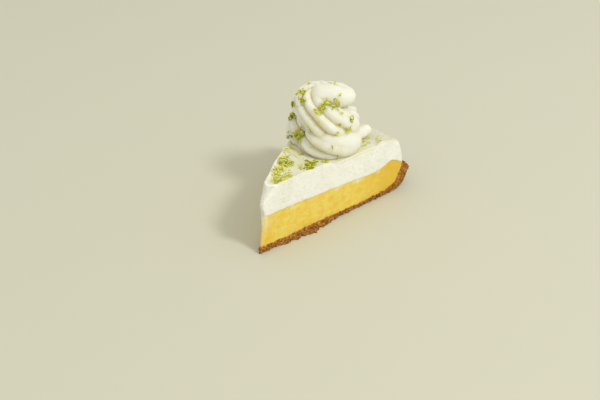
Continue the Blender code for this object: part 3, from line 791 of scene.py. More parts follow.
layer = {
    "cells": (270, 80, 42),
    "topRadii": [
        0.0, 0.0195, 0.0385, 0.0570, 0.0755, 0.0840, 0.0890, 0.0938, 0.0970, 0.0995, 0.1015, 0.1032, 0.1044,
    ],
    # radius, height of the top along the slice's middle
    "height": [
        (0.0, 0.0398), (0.010, 0.0395), (0.022, 0.0391), (0.032, 0.0397), (0.042, 0.0387), (0.054, 0.0375),
        (0.066, 0.0366), (0.080, 0.0364), (0.092, 0.0370), (0.098, 0.0361), (0.102, 0.0350), (0.106, 0.0334),
    ],
    "meanHeight": 0.038,
    "dish": (0.0013, 0.012, 0.030),
    "dishEnd": (0.100, 0.085),
    "sideBulge": (0.0009, 0.9, 1.0),
    "sink": 0.0003,
    "proud": (0.00018, 0.0, 0.06),
    "edge": 0.0010,
    # the cuts' lower edge wanders: length, height, and how far apart the two cuts read the noise
    "wander": (0.0026, 0.0004),
    "wanderApart": 0.1,
    "waves": [(0.015, 0.00040), (0.0052, 0.00022), (0.0021, 0.00007)],
    "drag": ((0.0026, 0.0026, 0.0013), 0.00007),
    "dragOffCut": 0.3,
    "steadyFoot": (0.0, 0.08),  # the marks fade out down to the filling
    "stipple": (0.0014, 0.00005),
    "streak": ((0.0006, 0.0006, 0.0075), 0.00014),
    "pore": (0.0017, 0.26, 0.05, 0.6),
    "poreDepth": 0.00022,
    # painted shade in the pores of the cuts
    "poreHollow": 0.35,
    "tint": 0.25,
    # painted shade: a yellow tint on the top's rounded edges by the cuts
    "edgeYellowShade": 0.4,
    # painted shade: grey on the top's rounded edges by the cuts, on the top near the rim, and streaked on
    # the blunt point
    "edgeShade": 0.45,
    "rimShade": 0.45,
    "pointShade": (0.42, 0.22),  # mean, swing
    # steps that tell where a point lies, by its distance from a cut, its share along the slice, how
    # far it faces the point, its radius, and how far it faces up on the top and on the top's edges
    "nearCut": (0.0024, 0.0006),
    "pastPoint": (0.0, 0.03),
    "facesPoint": (0.45, 0.9),
    "outermost": (0.080, 0.096),
    "onTop": (0.2, 0.5),
    "onEdge": ((0.1, 0.35), (0.95, 0.8)),
    "thickness": 0.018,
    "stain": (0.75, 0.0012, 0.0),
    "stainEdge": (0.0011, 0.0004),
}

swirl = {
    "distance": 0.0759,
    "seat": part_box("cream_swirl")[0].z,
    "seatRadius": 0.0262,
    "seatBlend": 0.004,
    "turn": math.radians(-58.5),
    "steps": 1000,
    "sides": 160,
    "start": 15.0,
    "lobes": 8,
    "groove": 0.30,
    "sharpness": 0.8,
    "caps": (0.008, 0.025),  # shares of the rope's length that its two ends close over
    "capLeast": 0.03,
    # angle gone, coil radius, height, rope radius, shift along X, shift along Y, share of the groove
    "rope": [
        (0, 0.0225, 0.0034, 0.0034, 0.0004, 0.0020, 0.0),
        (30, 0.0135, 0.0040, 0.0042, 0.0, 0.0006, 0.0),
        (55, 0.0138, 0.0045, 0.0073, 0.0, -0.0003, 0.1),
        (80, 0.0145, 0.0048, 0.0092, -0.0002, -0.0005, 0.4),
        (105, 0.0149, 0.0050, 0.0096, -0.0003, -0.0008, 0.8),
        (137, 0.0130, 0.0054, 0.0097, -0.0003, -0.0006, 1.2),
        (170, 0.0100, 0.0064, 0.0096, -0.0003, -0.0003, 1.2),
        (200, 0.0136, 0.0080, 0.0106, -0.0005, 0.0, 1.1),
        (285, 0.0125, 0.0095, 0.0112, -0.0010, 0.0, 1.0),
        (375, 0.0080, 0.0115, 0.0097, -0.0010, 0.0, 0.6),
        (420, 0.0083, 0.0122, 0.0110, -0.0014, 0.0, 0.7),
        (465, 0.0098, 0.0152, 0.0115, -0.0020, 0.0, 1.0),
        (510, 0.0100, 0.0217, 0.0098, -0.0023, 0.0, 1.1),
        (555, 0.0100, 0.0236, 0.0096, -0.0025, 0.0, 1.1),
        (600, 0.0087, 0.0247, 0.0089, -0.0028, 0.0, 0.8),
        (645, 0.0065, 0.0255, 0.0080, -0.0030, 0.0, 0.4),
        (700, 0.0080, 0.0265, 0.0066, -0.0005, 0.0, 0.2),
        (730, 0.0088, 0.0270, 0.0050, 0.0003, 0.0010, 0.1),
        (760, 0.0055, 0.0276, 0.0058, 0.0012, 0.0010, 0.0),
        (790, 0.0020, 0.0277, 0.0076, -0.0010, 0.0, 0.0),
        (840, 0.0020, 0.0274, 0.0080, -0.0118, 0.0004, 0.0),
    ],
    # angle gone, how far the lobes have turned about the rope by there
    "turned": [
        (0, 3.4), (105, 144), (157, 190), (200, 246), (285, 358), (375, 486), (430, 562), (457, 592),
        (477, 609), (493, 619), (515, 633), (540, 662), (600, 742), (840, 1040),
    ],
    # angle gone, how much wider the rope's lower outer side spreads over the layer
    "skirt": [
        (0, 0.0), (100, 0.0), (137, 0.5), (170, 0.55), (200, 0.5), (250, 0.1), (285, 0.0), (840, 0.0),
    ],
    # grooves smoothed away or pressed deeper on a stretch: number, first and last angle gone, factor
    "uneasy": [
        (0, 0, 150, 0.0), (4, 0, 90, 0.2), (5, 0, 185, 0.2), (6, 0, 150, 0.0), (7, 0, 150, 0.0),
        (4, 370, 520, 0.0), (5, 370, 425, 0.5), (5, 440, 520, 1.5), (6, 370, 520, 0.5),
    ],
    "uneasyBlend": 15.0,
    # core that closes the coil's middle: radius, height
    "core": [(0.0098, -0.004), (0.0098, 0.008), (0.0075, 0.016), (0.0038, 0.0225)],
    "coreSides": 32,
    "coreShift": -0.0012,
    "voxel": 0.00036,
    "soften": (0.5, 3),  # share, rounds
    "foot": 0.0006,
    "clear": 1e-5,  # how far over the flat foot the unevenness starts
    "uneven": [(0.0040, 0.00012), (0.0013, 0.00005)],
    # rounds of smoothing that a hollow is measured against, and the depth of a full one, for the painted
    # shade in the creases
    "hollow": (36, 0.00045),
    # painted shade: a warm tint low on the swirl, up from its foot
    "stain": (0.35, 0.0020, 0.0),
}
swirlMiddle = (swirl["distance"] + centreX, 0.0, swirl["seat"])


def layerTop(x, y):
    # Height along the slice, less a dish across it, plus waves; flat where the swirl sits
    distance = x - centreX
    across = y / np.maximum(distance * math.tan(pie["halfAngle"]), 0.001)
    radii, heights = np.transpose(layer["height"])
    height = curveThrough(radii, heights, np.clip(np.hypot(distance, y), 0.0, radii[-1]))
    dish = fade(distance, *layer["dish"]) * hill(across, 0.0, 1.0)
    height -= dish * smoothStep(*layer["dishEnd"], distance)
    flat = np.stack([x, y, np.zeros_like(x)], axis=1)
    for seed, wave in enumerate(layer["waves"]):
        height += relief(flat, *wave, 40 + seed)
    fromSwirl = np.hypot(distance - swirl["distance"], y)
    seat = smoothStep(swirl["seatRadius"] + swirl["seatBlend"], swirl["seatRadius"], fromSwirl)
    return mixed(height, swirl["seat"] - layer["sink"], seat)


def roundCutEdges(points, topHeight):
    # Quarter circles from the top to the two cuts, then from the top to the blunt point: points in
    # the corner's square are drawn onto it
    radius = layer["edge"]
    for atPoint in (False, True):
        gap = points[:, 0] - centreX - bluntDistance(points[:, 2]) if atPoint else cutDistance(points)
        inward = np.maximum(radius - gap, 0.0)
        upward = np.maximum(radius - (topHeight - points[:, 2]), 0.0)
        share = 1.0 - radius / np.maximum(np.hypot(inward, upward), radius)
        if atPoint:
            points[:, 0] += inward * share
        else:
            pushFromCut(points, points[:, 1], -inward * share)
        points[:, 2] -= upward * share


def layerSurface():
    # The filling's top, sunk a little into it, joined to the cream's own top by straight lines
    along, side, depth, faces = sliceSkin(layer["cells"])
    stations = sectionShares(filling["top"])
    lowRadius, lowHeight = sectionAt(filling["top"], stations, along)
    spots = np.stack([lowRadius, side * layer["wanderApart"], np.zeros(len(side))], axis=1)
    lowHeight += relief(spots, *layer["wander"], 37) - layer["sink"]
    radius = mixed(lowRadius, curveThrough(stations, layer["topRadii"], along), depth)
    endRadius = mixed(filling["top"][-1][0], layer["topRadii"][-1], depth)
    first = slicePoints(radius, endRadius, mixed(lowHeight, layer["meanHeight"], depth), side)
    topHeight = layerTop(first[:, 0], first[:, 1])
    points = slicePoints(radius, endRadius, mixed(lowHeight, topHeight, depth), side)
    turned = side * pie["halfAngle"]
    bulge = fade(along, *layer["sideBulge"]) * np.sin(np.pi * depth)
    points[:, 0] += bulge * np.cos(turned)
    points[:, 1] += bulge * np.sin(turned)
    roundCutEdges(points, topHeight)
    pushFromCut(points, side, fade(depth, *layer["proud"]) * onCut(side))
    return points, side, along, depth, faces


def makeLayer():
    points, side, along, depth, faces = layerSurface()
    mesh = makeMesh("creamLayer", points, faces)
    normals = readPoints(mesh, "normal")
    atCut, atPoint = onCut(side), along == 0.0
    pore = poreShare(points, layer["pore"], 51) * atCut
    size, height = layer["streak"]
    streak = softNoise(points, size, 27)
    lift = relief(points, *layer["drag"], 23) * np.where(atCut, 1.0, layer["dragOffCut"])
    lift += relief(points, *layer["stipple"], 25) * atCut - layer["poreDepth"] * pore
    lift += height * streak * atPoint
    lift *= smoothStep(*layer["steadyFoot"], depth)
    movePoints(mesh, points + normals * lift[:, None])
    mesh.set_sharp_from_angle(angle=pie["cornerAngle"])
    up = normals[:, 2]
    nearCut = smoothStep(*layer["nearCut"], cutDistance(points))
    pastPoint = smoothStep(*layer["pastPoint"], along)
    facesPoint = smoothStep(*layer["facesPoint"], -normals[:, 0])
    outermost = smoothStep(*layer["outermost"], toCentre(points))
    onTop = smoothStep(*layer["onTop"], up) * pastPoint
    leaning, level = layer["onEdge"]
    onEdge = smoothStep(*leaning, up) * smoothStep(*level, up) * nearCut * pastPoint
    juice = juiceShare(points - (centreX, 0.0, 0.0), "onLayer", *zest["juiceOnLayer"])
    juice = np.maximum(juice, layer["tint"]) * onTop
    # painted shade on the faces towards the blunt point, on the top's rounded edges by the cuts and on the
    # top near the rim
    mean, swing = layer["pointShade"]
    worn = np.maximum(facesPoint * (mean + swing * streak), layer["edgeShade"] * onEdge)
    worn = np.maximum(worn, layer["rimShade"] * onTop * outermost)
    over = depth * layer["thickness"] + relief(points, *layer["stainEdge"], 29)
    addValues(
        mesh, cut=np.maximum(atCut | atPoint, nearCut), hollow=layer["poreHollow"] * pore,
        # zest juice, with yellow painted shade on the top's edges by the cuts
        juice=np.maximum(juice, layer["edgeYellowShade"] * onEdge), stain=fade(over, *layer["stain"]),
        worn=np.clip(worn, 0.0, 1.0))
    return addPiece("creamLayer", mesh, layerMaterial, "cream_layer")


# Swirl: a star-shaped rope of cream wound as a rising coil, its end folded over the top

def grooveFactors(gone, groove):
    # Factor on the depth of the groove that each point lies in: 1, but for the listed stretches
    factors = np.ones((len(gone), swirl["lobes"]))
    blend = swirl["uneasyBlend"]
    for number, first, last, factor in swirl["uneasy"]:
        start, end = [smoothStep(angle - blend, angle + blend, gone) for angle in (first, last)]
        factors[:, number] *= 1.0 + (factor - 1.0) * (start - end)
    return np.take_along_axis(factors, groove, axis=1)


def ropeRings():
    # Rings carried along a coil whose radius, height and thickness follow a table; each ring's
    # radius falls between lobes, and the lobes turn about the rope as it winds
    table = np.array(swirl["rope"], float)
    turned = np.array(swirl["turned"], float)
    gone = np.linspace(0.0, table[-1, 0], swirl["steps"])
    coil, rise, thick, shiftX, shiftY, share = [
        curveThrough(table[:, 0], table[:, column], gone) for column in range(1, 7)
    ]
    angle = np.radians(swirl["start"] - gone)
    outward = np.stack([np.cos(angle), np.sin(angle), np.zeros(len(gone))], axis=1)
    middle = outward * coil[:, None] + np.stack([shiftX, shiftY, rise], axis=1)
    ahead = np.gradient(middle, axis=0)
    ahead /= np.linalg.norm(ahead, axis=1, keepdims=True)
    outward -= ahead * (outward * ahead).sum(axis=1, keepdims=True)
    outward /= np.linalg.norm(outward, axis=1, keepdims=True)
    upward = np.cross(outward, ahead)
    upward *= np.sign(upward[:, 2:3])
    turn = np.linspace(0.0, 2.0 * np.pi, swirl["sides"], endpoint=False)
    twist = np.radians(curveThrough(turned[:, 0], turned[:, 1], gone))
    phase = (turn[None] - twist[:, None]) * swirl["lobes"] / (2.0 * np.pi)
    groove = np.mod(np.floor(phase), swirl["lobes"]).astype(int)
    depth = swirl["groove"] * share[:, None] * grooveFactors(gone, groove)
    radius = thick[:, None] * (1.0 - depth * (1.0 - np.abs(np.cos(np.pi * phase)) ** swirl["sharpness"]))
    step = np.arange(len(gone)) / (len(gone) - 1)
    toEnd = np.minimum(np.minimum(step / swirl["caps"][0], (1.0 - step) / swirl["caps"][1]), 1.0)
    radius *= np.maximum(np.sqrt(1.0 - (1.0 - toEnd) ** 2), swirl["capLeast"])[:, None]
    skirt = np.interp(gone, *np.array(swirl["skirt"]).T)[:, None] * np.maximum(-np.sin(turn), 0.0)
    across = np.cos(turn) * np.where(np.cos(turn) > 0.0, 1.0 + skirt, 1.0)
    spread = across[:, :, None] * outward[:, None] + np.sin(turn)[None, :, None] * upward[:, None]
    return middle[:, None] + radius[:, :, None] * spread


def ringShell(rings):
    # Closed skin over a row of rings, a point closing each end
    steps, around = rings.shape[:2]
    step, corner = np.meshgrid(np.arange(steps - 1), np.arange(around), indexing="ij")
    following = (corner + 1) % around
    quads = np.stack([
        step * around + corner, step * around + following,
        (step + 1) * around + following, (step + 1) * around + corner,
    ], axis=-1).reshape(-1, 4).tolist()
    first = steps * around
    base = first - around
    quads += [(first, (k + 1) % around, k) for k in range(around)]
    quads += [(first + 1, base + k, base + (k + 1) % around) for k in range(around)]
    points = np.concatenate([rings.reshape(-1, 3), [rings[0].mean(axis=0)], [rings[-1].mean(axis=0)]])
    return points, quads


def finishedMesh(piece):
    # The piece's mesh with its modifiers applied
    bpy.context.view_layer.update()
    graph = bpy.context.evaluated_depsgraph_get()
    mesh = bpy.data.meshes.new_from_object(piece.evaluated_get(graph))
    bpy.data.objects.remove(piece)
    return mesh


def flattenFoot(mesh, height):
    # Cuts off what lies below a height and closes the cut
    shape = bmesh.new()
    shape.from_mesh(mesh)
    everything = shape.verts[:] + shape.edges[:] + shape.faces[:]
    made = bmesh.ops.bisect_plane(
        shape, geom=everything, plane_co=(0.0, 0.0, height), plane_no=(0.0, 0.0, -1.0), clear_outer=True)
    rim = [item for item in made["geom_cut"] if isinstance(item, bmesh.types.BMEdge)]
    bmesh.ops.holes_fill(shape, edges=rim, sides=0)
    bmesh.ops.triangulate(shape, faces=[face for face in shape.faces if len(face.verts) > 4])
    bmesh.ops.recalc_face_normals(shape, faces=shape.faces[:])
    shape.to_mesh(mesh)
    shape.free()


def hollowShare(mesh, points, normals, rounds, depth):
    # How deep each point lies under the average of its neighbourhood, found by smoothing over edges
    edges = np.zeros(len(mesh.edges) * 2, np.int32)
    mesh.edges.foreach_get("vertices", edges)
    edges = edges.reshape(-1, 2)
    one, other = np.concatenate([edges, edges[:, ::-1]]).T
    degree = np.maximum(np.bincount(one, minlength=len(points)), 1)[:, None]
    smooth = points
    for _ in range(rounds):
        sums = [np.bincount(one, smooth[other, axis], len(points)) for axis in range(3)]
        smooth = np.stack(sums, axis=1) / degree
    return np.clip(((smooth - points) * normals).sum(axis=1) / depth, 0.0, 1.0)


def makeSwirl():
    # The rope and its core grown together into one skin, softened and cut flat at the foot
    points, faces = ringShell(ropeRings())
    turn = np.linspace(0.0, 2.0 * np.pi, swirl["coreSides"], endpoint=False)
    ring = np.stack([np.cos(turn), np.sin(turn), np.zeros(len(turn))], axis=1)
    core = np.stack([ring * radius + (swirl["coreShift"], 0.0, height) for radius, height in swirl["core"]])
    corePoints, coreFaces = ringShell(core)
    faces += [tuple(corner + len(points) for corner in face) for face in coreFaces]
    rough = bpy.data.meshes.new("roughSwirl")
    rough.from_pydata(np.concatenate([points, corePoints]), [], faces)
    rough.transform(Matrix.Translation(swirlMiddle) @ Matrix.Rotation(swirl["turn"], 4, "Z"))
    whole = addObject("roughSwirl", rough)
    skin = whole.modifiers.new("oneSkin", "REMESH")
    skin.mode = "VOXEL"
    skin.voxel_size = swirl["voxel"]
    soften = whole.modifiers.new("soften", "SMOOTH")
    soften.factor, soften.iterations = swirl["soften"]
    mesh = finishedMesh(whole)
    foot = swirl["seat"] - swirl["foot"]
    flattenFoot(mesh, foot)
    mesh.shade_smooth()
    points = readPoints(mesh)
    normals = readPoints(mesh, "normal")
    # painted shade in the swirl's creases
    hollow = hollowShare(mesh, points, normals, *swirl["hollow"])
    lift = sum(relief(points, *uneven, 60 + seed) for seed, uneven in enumerate(swirl["uneven"]))
    lift *= points[:, 2] > foot + swirl["clear"]
    movePoints(mesh, points + normals * lift[:, None])
    juice = juiceShare(points - swirlMiddle, "onSwirl", *zest["juiceOnSwirl"])
    # painted shade: a warm tint up from the swirl's foot
    stain = fade(points[:, 2] - swirl["seat"], *swirl["stain"])
    addValues(mesh, hollow=hollow, cut=0.0, juice=juice, stain=stain, worn=0.0)
    return addPiece("creamSwirl", mesh, swirlMaterial, "cream_swirl")


# Zest: curled shreds of lime peel in clusters

zest = {
    "seed": 11,
    # smallest, largest, power that makes small ones common
    "length": (0.0012, 0.0042, 1.5),
    "width": (0.00030, 0.00064, 1.3),
    "paleThinner": 0.35,
    "thickness": 0.00026,
    "narrowed": 0.85,  # how far a shred narrows to its ends
    # half of the angle that a shred curls through, how far its curl leans out of the face, its twist
    "curl": (0.2, 2.2),
    "lean": 0.6,
    "twist": 1.1,
    "held": 0.6,  # share of the curl where a shred's arc is level with its middle line
    "clear": (0.3, 0.7),  # of its thickness, of its lowest point
    # height, shreds in a full pile, least share of a small one, power
    "pile": (0.0007, 25.0, 0.3, 1.5),
    # clusters on the layer scatter further one way: its direction, how many times further
    "longWay": (0.852, 0.523),
    "longer": 1.8,
    "stations": 8,
    "tone": (0.95, 0.4, 0.1),  # swing of a shred's tone, what paleness adds, where it starts
    # stain that a cluster leaves: how far past the cluster, share for each shred
    "juice": (0.0008, 0.011),
    "juiceOnLayer": (1.0, 0.7),  # share, most
    "juiceOnSwirl": (0.8, 0.55),
    "fromCut": 0.0009,
    "dropFrom": 0.2,
    "millimetre": 0.001,
    # on the layer, in millimetres: distance from the pie's centre, offset across the slice, spread,
    # with the number of shreds and their paleness
    "onLayer": [
        (89.9, -24, 0.9, 9, 0.8), (85, -17.5, 2, 13, 0.9), (48.6, 12.6, 1.1, 9, 0.8),
        (51.2, 4.2, 1.8, 12, 0.8), (38.7, 9.8, 0.8, 12, 0.7), (40.8, 8.1, 0.9, 16, 0.7),
        (43.8, -4, 1, 22, 0.5), (34.3, 8.3, 0.8, 12, 0.5), (47.7, -4.9, 1, 15, 0.6),
        (36.2, 6.3, 0.8, 16, 0.4), (51.5, -10.6, 1, 19, 0.9), (37.6, 3.4, 1, 21, 0.6),
        (31.8, 5.6, 0.8, 12, 0.4), (33.2, 3, 0.9, 16, 0.6), (28.3, 4.9, 0.6, 9, 0.9),
        (35.5, -4.4, 0.9, 13, 0.7), (36.6, -9.6, 1, 24, 0.4), (29, 3.1, 0.8, 12, 0.8),
        (25, 4.8, 0.8, 12, 0.5), (25.7, 2.8, 0.7, 11, 0.6), (28, -1.7, 0.6, 6, 0.9),
        (21.9, 4.4, 0.8, 13, 0.5), (22.5, 1.8, 0.8, 12, 0.9), (23.9, -2.8, 0.8, 12, 0.5),
        (18.7, 1, 0.8, 13, 0.5), (20.7, -2.5, 0.7, 10, 0.9), (19.9, -4.8, 0.8, 9, 1),
        (17.3, -3, 0.8, 16, 0.6), (14.9, -0.6, 0.7, 10, 0.3), (14.1, -2.8, 0.8, 11, 0.7),
        (40.2, -6.8, 1.1, 26, 0.4), (43, -7.6, 1.1, 22, 0.3), (94, 15, 4.2, 9, 0.5),
        (51, 13, 2.2, 10, 0.9), (88, 26, 2.5, 5, 0.5),
    ],
    # on the swirl, in millimetres from the middle of its seat: three offsets, spread, then the same
    "onSwirl": [
        (-19.3, 2.4, 14, 1.3, 5, 0.3), (-16.2, -12.6, 13.8, 0.7, 4, 0.3), (-17.3, -14, 0.5, 1, 4, 0.5),
        (-9.9, 13.7, 31.3, 0.9, 10, 0.4), (-8.8, 12.3, 30.5, 1, 13, 0.4),
        (-11.4, 14.4, 30.7, 1.1, 13, 0.7), (-15.9, 7.9, 29.9, 0.7, 7, 0.6),
        (-14.7, 10.9, 28.2, 0.8, 10, 0.4), (-9.5, -2.4, 29.4, 0.9, 12, 0.9),
        (-5.9, -7, 28.1, 1.1, 13, 1), (-12.5, -3.1, 28.7, 1, 13, 0.4), (-9.7, -4.6, 27.9, 1.1, 17, 0.4),
        (-13.2, 17.6, 23.6, 0.8, 16, 0), (-14.3, -1.5, 28.2, 0.8, 11, 1),
        (-8.2, -6.9, 26.1, 2, 15, 0.5), (-14.1, -3.3, 27.5, 0.9, 10, 0.6),
        (-15.1, -0.4, 26.2, 0.7, 7, 0.6), (-15.1, -1.9, 25.6, 0.8, 8, 0.5),
        (-18.4, -0.8, 26.3, 0.8, 8, 0.7), (-18.1, -2.3, 25.5, 0.8, 8, 0.5),
        (-9.3, 19.7, 14.4, 0.9, 11, 0.1), (-11.2, 19.7, 13.5, 0.9, 12, 0.1),
        (-4, -15.8, 19, 0.9, 9, 0.2), (-19.9, -3.7, 21.4, 0.5, 4, 0.9),
        (-12.5, -12.2, 17.2, 0.7, 6, 0.8), (-17.9, 10.7, 10.8, 1.1, 14, 0.3),
        (-8.5, -15.2, 13.4, 1.1, 19, 1), (-17.7, 14.1, 7.1, 1, 13, 0.6), (-18, 8.7, 7.9, 1.1, 19, 0.3),
        (-13.1, 19.4, 2.4, 1.1, 16, 0.2), (-18.4, 11.2, 6.7, 1, 17, 0.5), (-14.2, 17, 1.9, 1, 13, 0.1),
        (-21, 8.6, 5.5, 1, 16, 0.9), (-21.1, -12.4, 8.1, 0.6, 5, 1), (-3.2, -7.4, 31.8, 0.6, 4, 0.5),
        (-0.7, 14.7, 32.4, 0.7, 5, 0.4), (5.4, 1.4, 32.9, 1, 4, 0.7), (-8.6, -11.4, 23.6, 0.7, 4, 0.5),
        (-18, 10.1, 26.1, 0.7, 2, 0.5), (-0.5, -8.1, 22.4, 0.7, 2, 0.6), (8.6, 14.9, 26, 2.8, 7, 0.3),
        (9.7, 3.5, 19.8, 2.3, 4, 0.4), (17.1, 17.1, 11.7, 2.8, 5, 0.4), (3.5, 19.7, 19.5, 2.5, 7, 0.2),
        (12.2, -7.1, 25.9, 1.8, 3, 0.6), (-1, 21, 9, 2.3, 5, 0.3),
    ],
}


def zestTable(name):
    # A list of places, all but their last two numbers turned to metres
    table = np.array(zest[name])
    table[:, :-2] *= zest["millimetre"]
    return table.tolist()


def juiceShare(local, name, share, most):
    # Faint green round each cluster: the sum of a bell over its middle
    past, each = zest["juice"]
    total = np.zeros(len(local))
    for *middle, spread, count, _ in zestTable(name):
        away = np.linalg.norm(local[:, :len(middle)] - middle, axis=1)
        total += each * count * np.exp(-0.5 * (away / (spread + past)) ** 2)
    return np.clip(share * total, 0.0, most)


def zestPlaces(layerPiece, swirlPiece):
    # Bell-shaped clusters, dropped onto the layer or drawn to the swirl's nearest face
    draw = random.Random(zest["seed"])
    bpy.context.view_layer.update()
    graph = bpy.context.evaluated_depsgraph_get()
    layerTree = BVHTree.FromObject(layerPiece, graph)
    swirlTree = BVHTree.FromObject(swirlPiece, graph)
    places = []
    longX, longY = zest["longWay"]
    for distance, offset, spread, count, paleness in zestTable("onLayer"):
        for _ in range(int(count)):
            far = draw.gauss(0.0, spread * zest["longer"])
            aside = draw.gauss(0.0, spread)
            x = distance + far * longX - aside * longY
            y = offset + far * longY + aside * longX
            above = Vector((x + centreX, y, zest["dropFrom"]))
            spot, normal = layerTree.ray_cast(above, Vector((0.0, 0.0, -1.0)))[:2]
            if spot and x * sine - abs(y) * cosine > zest["fromCut"]:
                places.append((*spot, *normal, paleness, count))
    for *middle, spread, count, paleness in zestTable("onSwirl"):
        for _ in range(int(count)):
            near = Vector(swirlMiddle) + Vector([draw.gauss(value, spread) for value in middle])
            spot, normal = swirlTree.find_nearest(near)[:2]
            if spot.z > swirl["seat"]:
                places.append((*spot, *normal, paleness, count))
    return np.array(places)


def makeZest(layerPiece, swirlPiece):
    # Each shred is a band along an arc of a circle whose plane leans out of the face, narrowed
    # towards its ends and twisted on the way
    places = zestPlaces(layerPiece, swirlPiece)
    spots, normals, paleness, clustered = places[:, :3], places[:, 3:6], places[:, 6], places[:, 7]
    draw = np.random.default_rng(zest["seed"])
    count = len(spots)
    stations = zest["stations"]

    def between(low, high, power=1.0):
        return mixed(low, high, draw.random(count) ** power)

    thick = zest["thickness"]
    length = between(*zest["length"])
    width = between(*zest["width"]) * (1.0 - zest["paleThinner"] * paleness)
    curl = between(*zest["curl"])
    lean = between(-zest["lean"], zest["lean"])
    twist = between(-zest["twist"], zest["twist"])
    tall, full, least, power = zest["pile"]
    pile = tall * np.clip(clustered / full, least, 1.0) * draw.random(count) ** power
    share = np.linspace(-1.0, 1.0, stations)
    swept = curl[:, None] * share
    bow = (0.5 * length / curl)[:, None]
    ahead = bow * np.sin(swept)
    rise = bow * (np.cos(swept) - np.cos(zest["held"] * curl)[:, None])
    aside = rise * np.cos(lean)[:, None]
    above = rise * np.sin(lean)[:, None]
    ofThickness, ofLowest = zest["clear"]
    above += (pile + ofThickness * thick - ofLowest * above.min(axis=1))[:, None]
    half = 0.5 * width[:, None] * np.sqrt(1.0 - zest["narrowed"] * share ** 4)
    roll = twist[:, None] * share + lean[:, None]
    corners = []
    for across, up in ((-1.0, -0.5), (1.0, -0.5), (1.0, 0.5), (-1.0, 0.5)):
        sideways = across * half * np.cos(roll) - up * thick * np.sin(roll)
        upwards = across * half * np.sin(roll) + up * thick * np.cos(roll)
        corners.append(np.stack([
            ahead + sideways * np.sin(swept), aside + sideways * np.cos(swept), above + upwards,
        ], axis=-1))
    local = np.stack(corners, axis=2)
    spin = between(0.0, 2.0 * np.pi)
    helper = np.where(np.abs(normals[:, 2:3]) < 0.9, [[0.0, 0.0, 1.0]], [[1.0, 0.0, 0.0]])
    first = np.cross(helper, normals)
    first /= np.linalg.norm(first, axis=1, keepdims=True)
    second = np.cross(normals, first)
    tangent = first * np.cos(spin)[:, None] + second * np.sin(spin)[:, None]
    axes = np.stack([tangent, np.cross(normals, tangent), normals], axis=1)
    points = (np.einsum("nskj,nji->nski", local, axes) + spots[:, None, None]).reshape(-1, 3)
    corner = np.arange(stations * 4 - 4)
    following = np.where(corner % 4 < 3, corner + 1, corner - 3)
    band = np.stack([corner, following, following + 4, corner + 4], axis=1)
    band = np.concatenate([band, [[3, 2, 1, 0]], [corner[-1] + np.arange(1, 5)]])
    faces = (band + stations * 4 * np.arange(count)[:, None, None]).reshape(-1, 4)
    mesh = makeMesh("zest", points, faces)
    swing, paler, start = zest["tone"]
    tone = np.clip(draw.random(count) * swing + paler * paleness - start, 0.0, 1.0)
    addValues(mesh, tone=np.repeat(tone, stations * 4))
    return addPiece("zest", mesh, zestMaterial)


crustPiece = makeCrust()
makeCrumbs(crustPiece.data)
makeFilling()
layerPiece = makeLayer()
swirlPiece = makeSwirl()
makeZest(layerPiece, swirlPiece)


# Floor, light and camera

studio = {
    "floor": shade(206, 204, 182),
    "floorDim": shade(190, 188, 178),
    "floorMottle": (0.05, 3.0),
    "floorShare": 0.08,
    "floorHalf": 4.0,
    "sky": (1.0, 0.985, 0.925, 1.0),
    "skyStrength": 0.795,
    "key": (0.97, 0.985, 1.03),
    "keyPower": 15.4,
    "keySize": 0.40,
    "keyDistance": 1.9,
    "keyElevation": math.radians(48.0),
    # towards the light as the camera sees it: to its right, and away from it
    "keySide": (0.82, -0.57),
}

lens = {
    "focal": 60.0,
    "sensor": 36.0,
    "elevation": math.radians(32.0),
    "azimuth": math.radians(58.46),
    "distance": 0.5936,
    "aim": (0.05894, 0.01040, 0.0),  # from the pie's centre
}

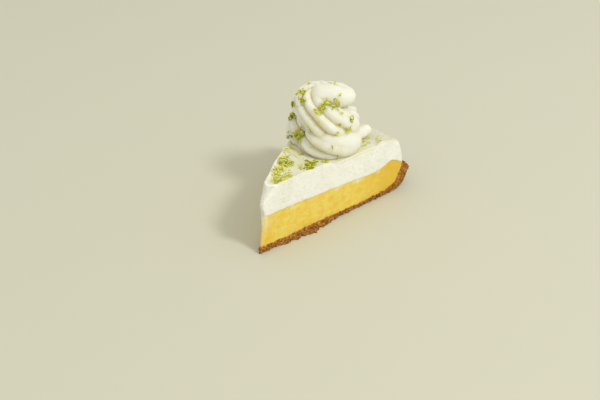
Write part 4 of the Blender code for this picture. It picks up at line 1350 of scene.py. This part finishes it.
right = Vector((math.cos(lens["azimuth"]), -math.sin(lens["azimuth"]), 0.0))
away = Vector((math.sin(lens["azimuth"]), math.cos(lens["azimuth"]), 0.0))
upwards = Vector((0.0, 0.0, 1.0))
aim = Vector(lens["aim"]) + Vector((centreX, 0.0, 0.0))


def makeFloor():
    finish = Finish("paleFloor", {"Roughness": 0.6, "Specular IOR Level": 0.2})
    dim = finish.noise(*studio["floorMottle"]) * studio["floorShare"]
    finish.paint("Base Color", finish.mix(dim, studio["floor"], studio["floorDim"]))
    corners = np.array([(-1.0, -1.0, 0.0), (1.0, -1.0, 0.0), (1.0, 1.0, 0.0), (-1.0, 1.0, 0.0)])
    floor = addObject("floor", makeMesh("floor", corners * studio["floorHalf"], np.array([[0, 1, 2, 3]])))
    floor.data.materials.append(finish.material)


def makeLight():
    world = bpy.data.worlds.new("studio")
    world.use_nodes = True
    background = world.node_tree.nodes["Background"]
    background.inputs["Color"].default_value = studio["sky"]
    background.inputs["Strength"].default_value = studio["skyStrength"]
    bpy.context.scene.world = world
    level = right * studio["keySide"][0] + away * studio["keySide"][1]
    level.normalize()
    toLight = level * math.cos(studio["keyElevation"]) + upwards * math.sin(studio["keyElevation"])
    data = bpy.data.lights.new("key", "AREA")
    data.shape = "DISK"
    data.size = studio["keySize"]
    data.energy = studio["keyPower"]
    data.color = studio["key"]
    key = addObject("key", data)
    key.location = toLight * studio["keyDistance"]
    key.rotation_euler = (-toLight).to_track_quat("-Z", "Y").to_euler()


def makeCamera():
    # Looks at the aim from its distance, azimuth and elevation, with its own axes as columns
    forward = away * math.cos(lens["elevation"]) - upwards * math.sin(lens["elevation"])
    data = bpy.data.cameras.new("camera")
    data.lens = lens["focal"]
    data.sensor_width = lens["sensor"]
    camera = addObject("camera", data)
    axes = Matrix((right, right.cross(forward), -forward)).transposed().to_4x4()
    camera.matrix_world = Matrix.Translation(aim - forward * lens["distance"]) @ axes
    bpy.context.scene.camera = camera


makeFloor()
makeLight()
makeCamera()
bpy.context.scene.view_settings.view_transform = "Standard"
print("floor, light and camera made")
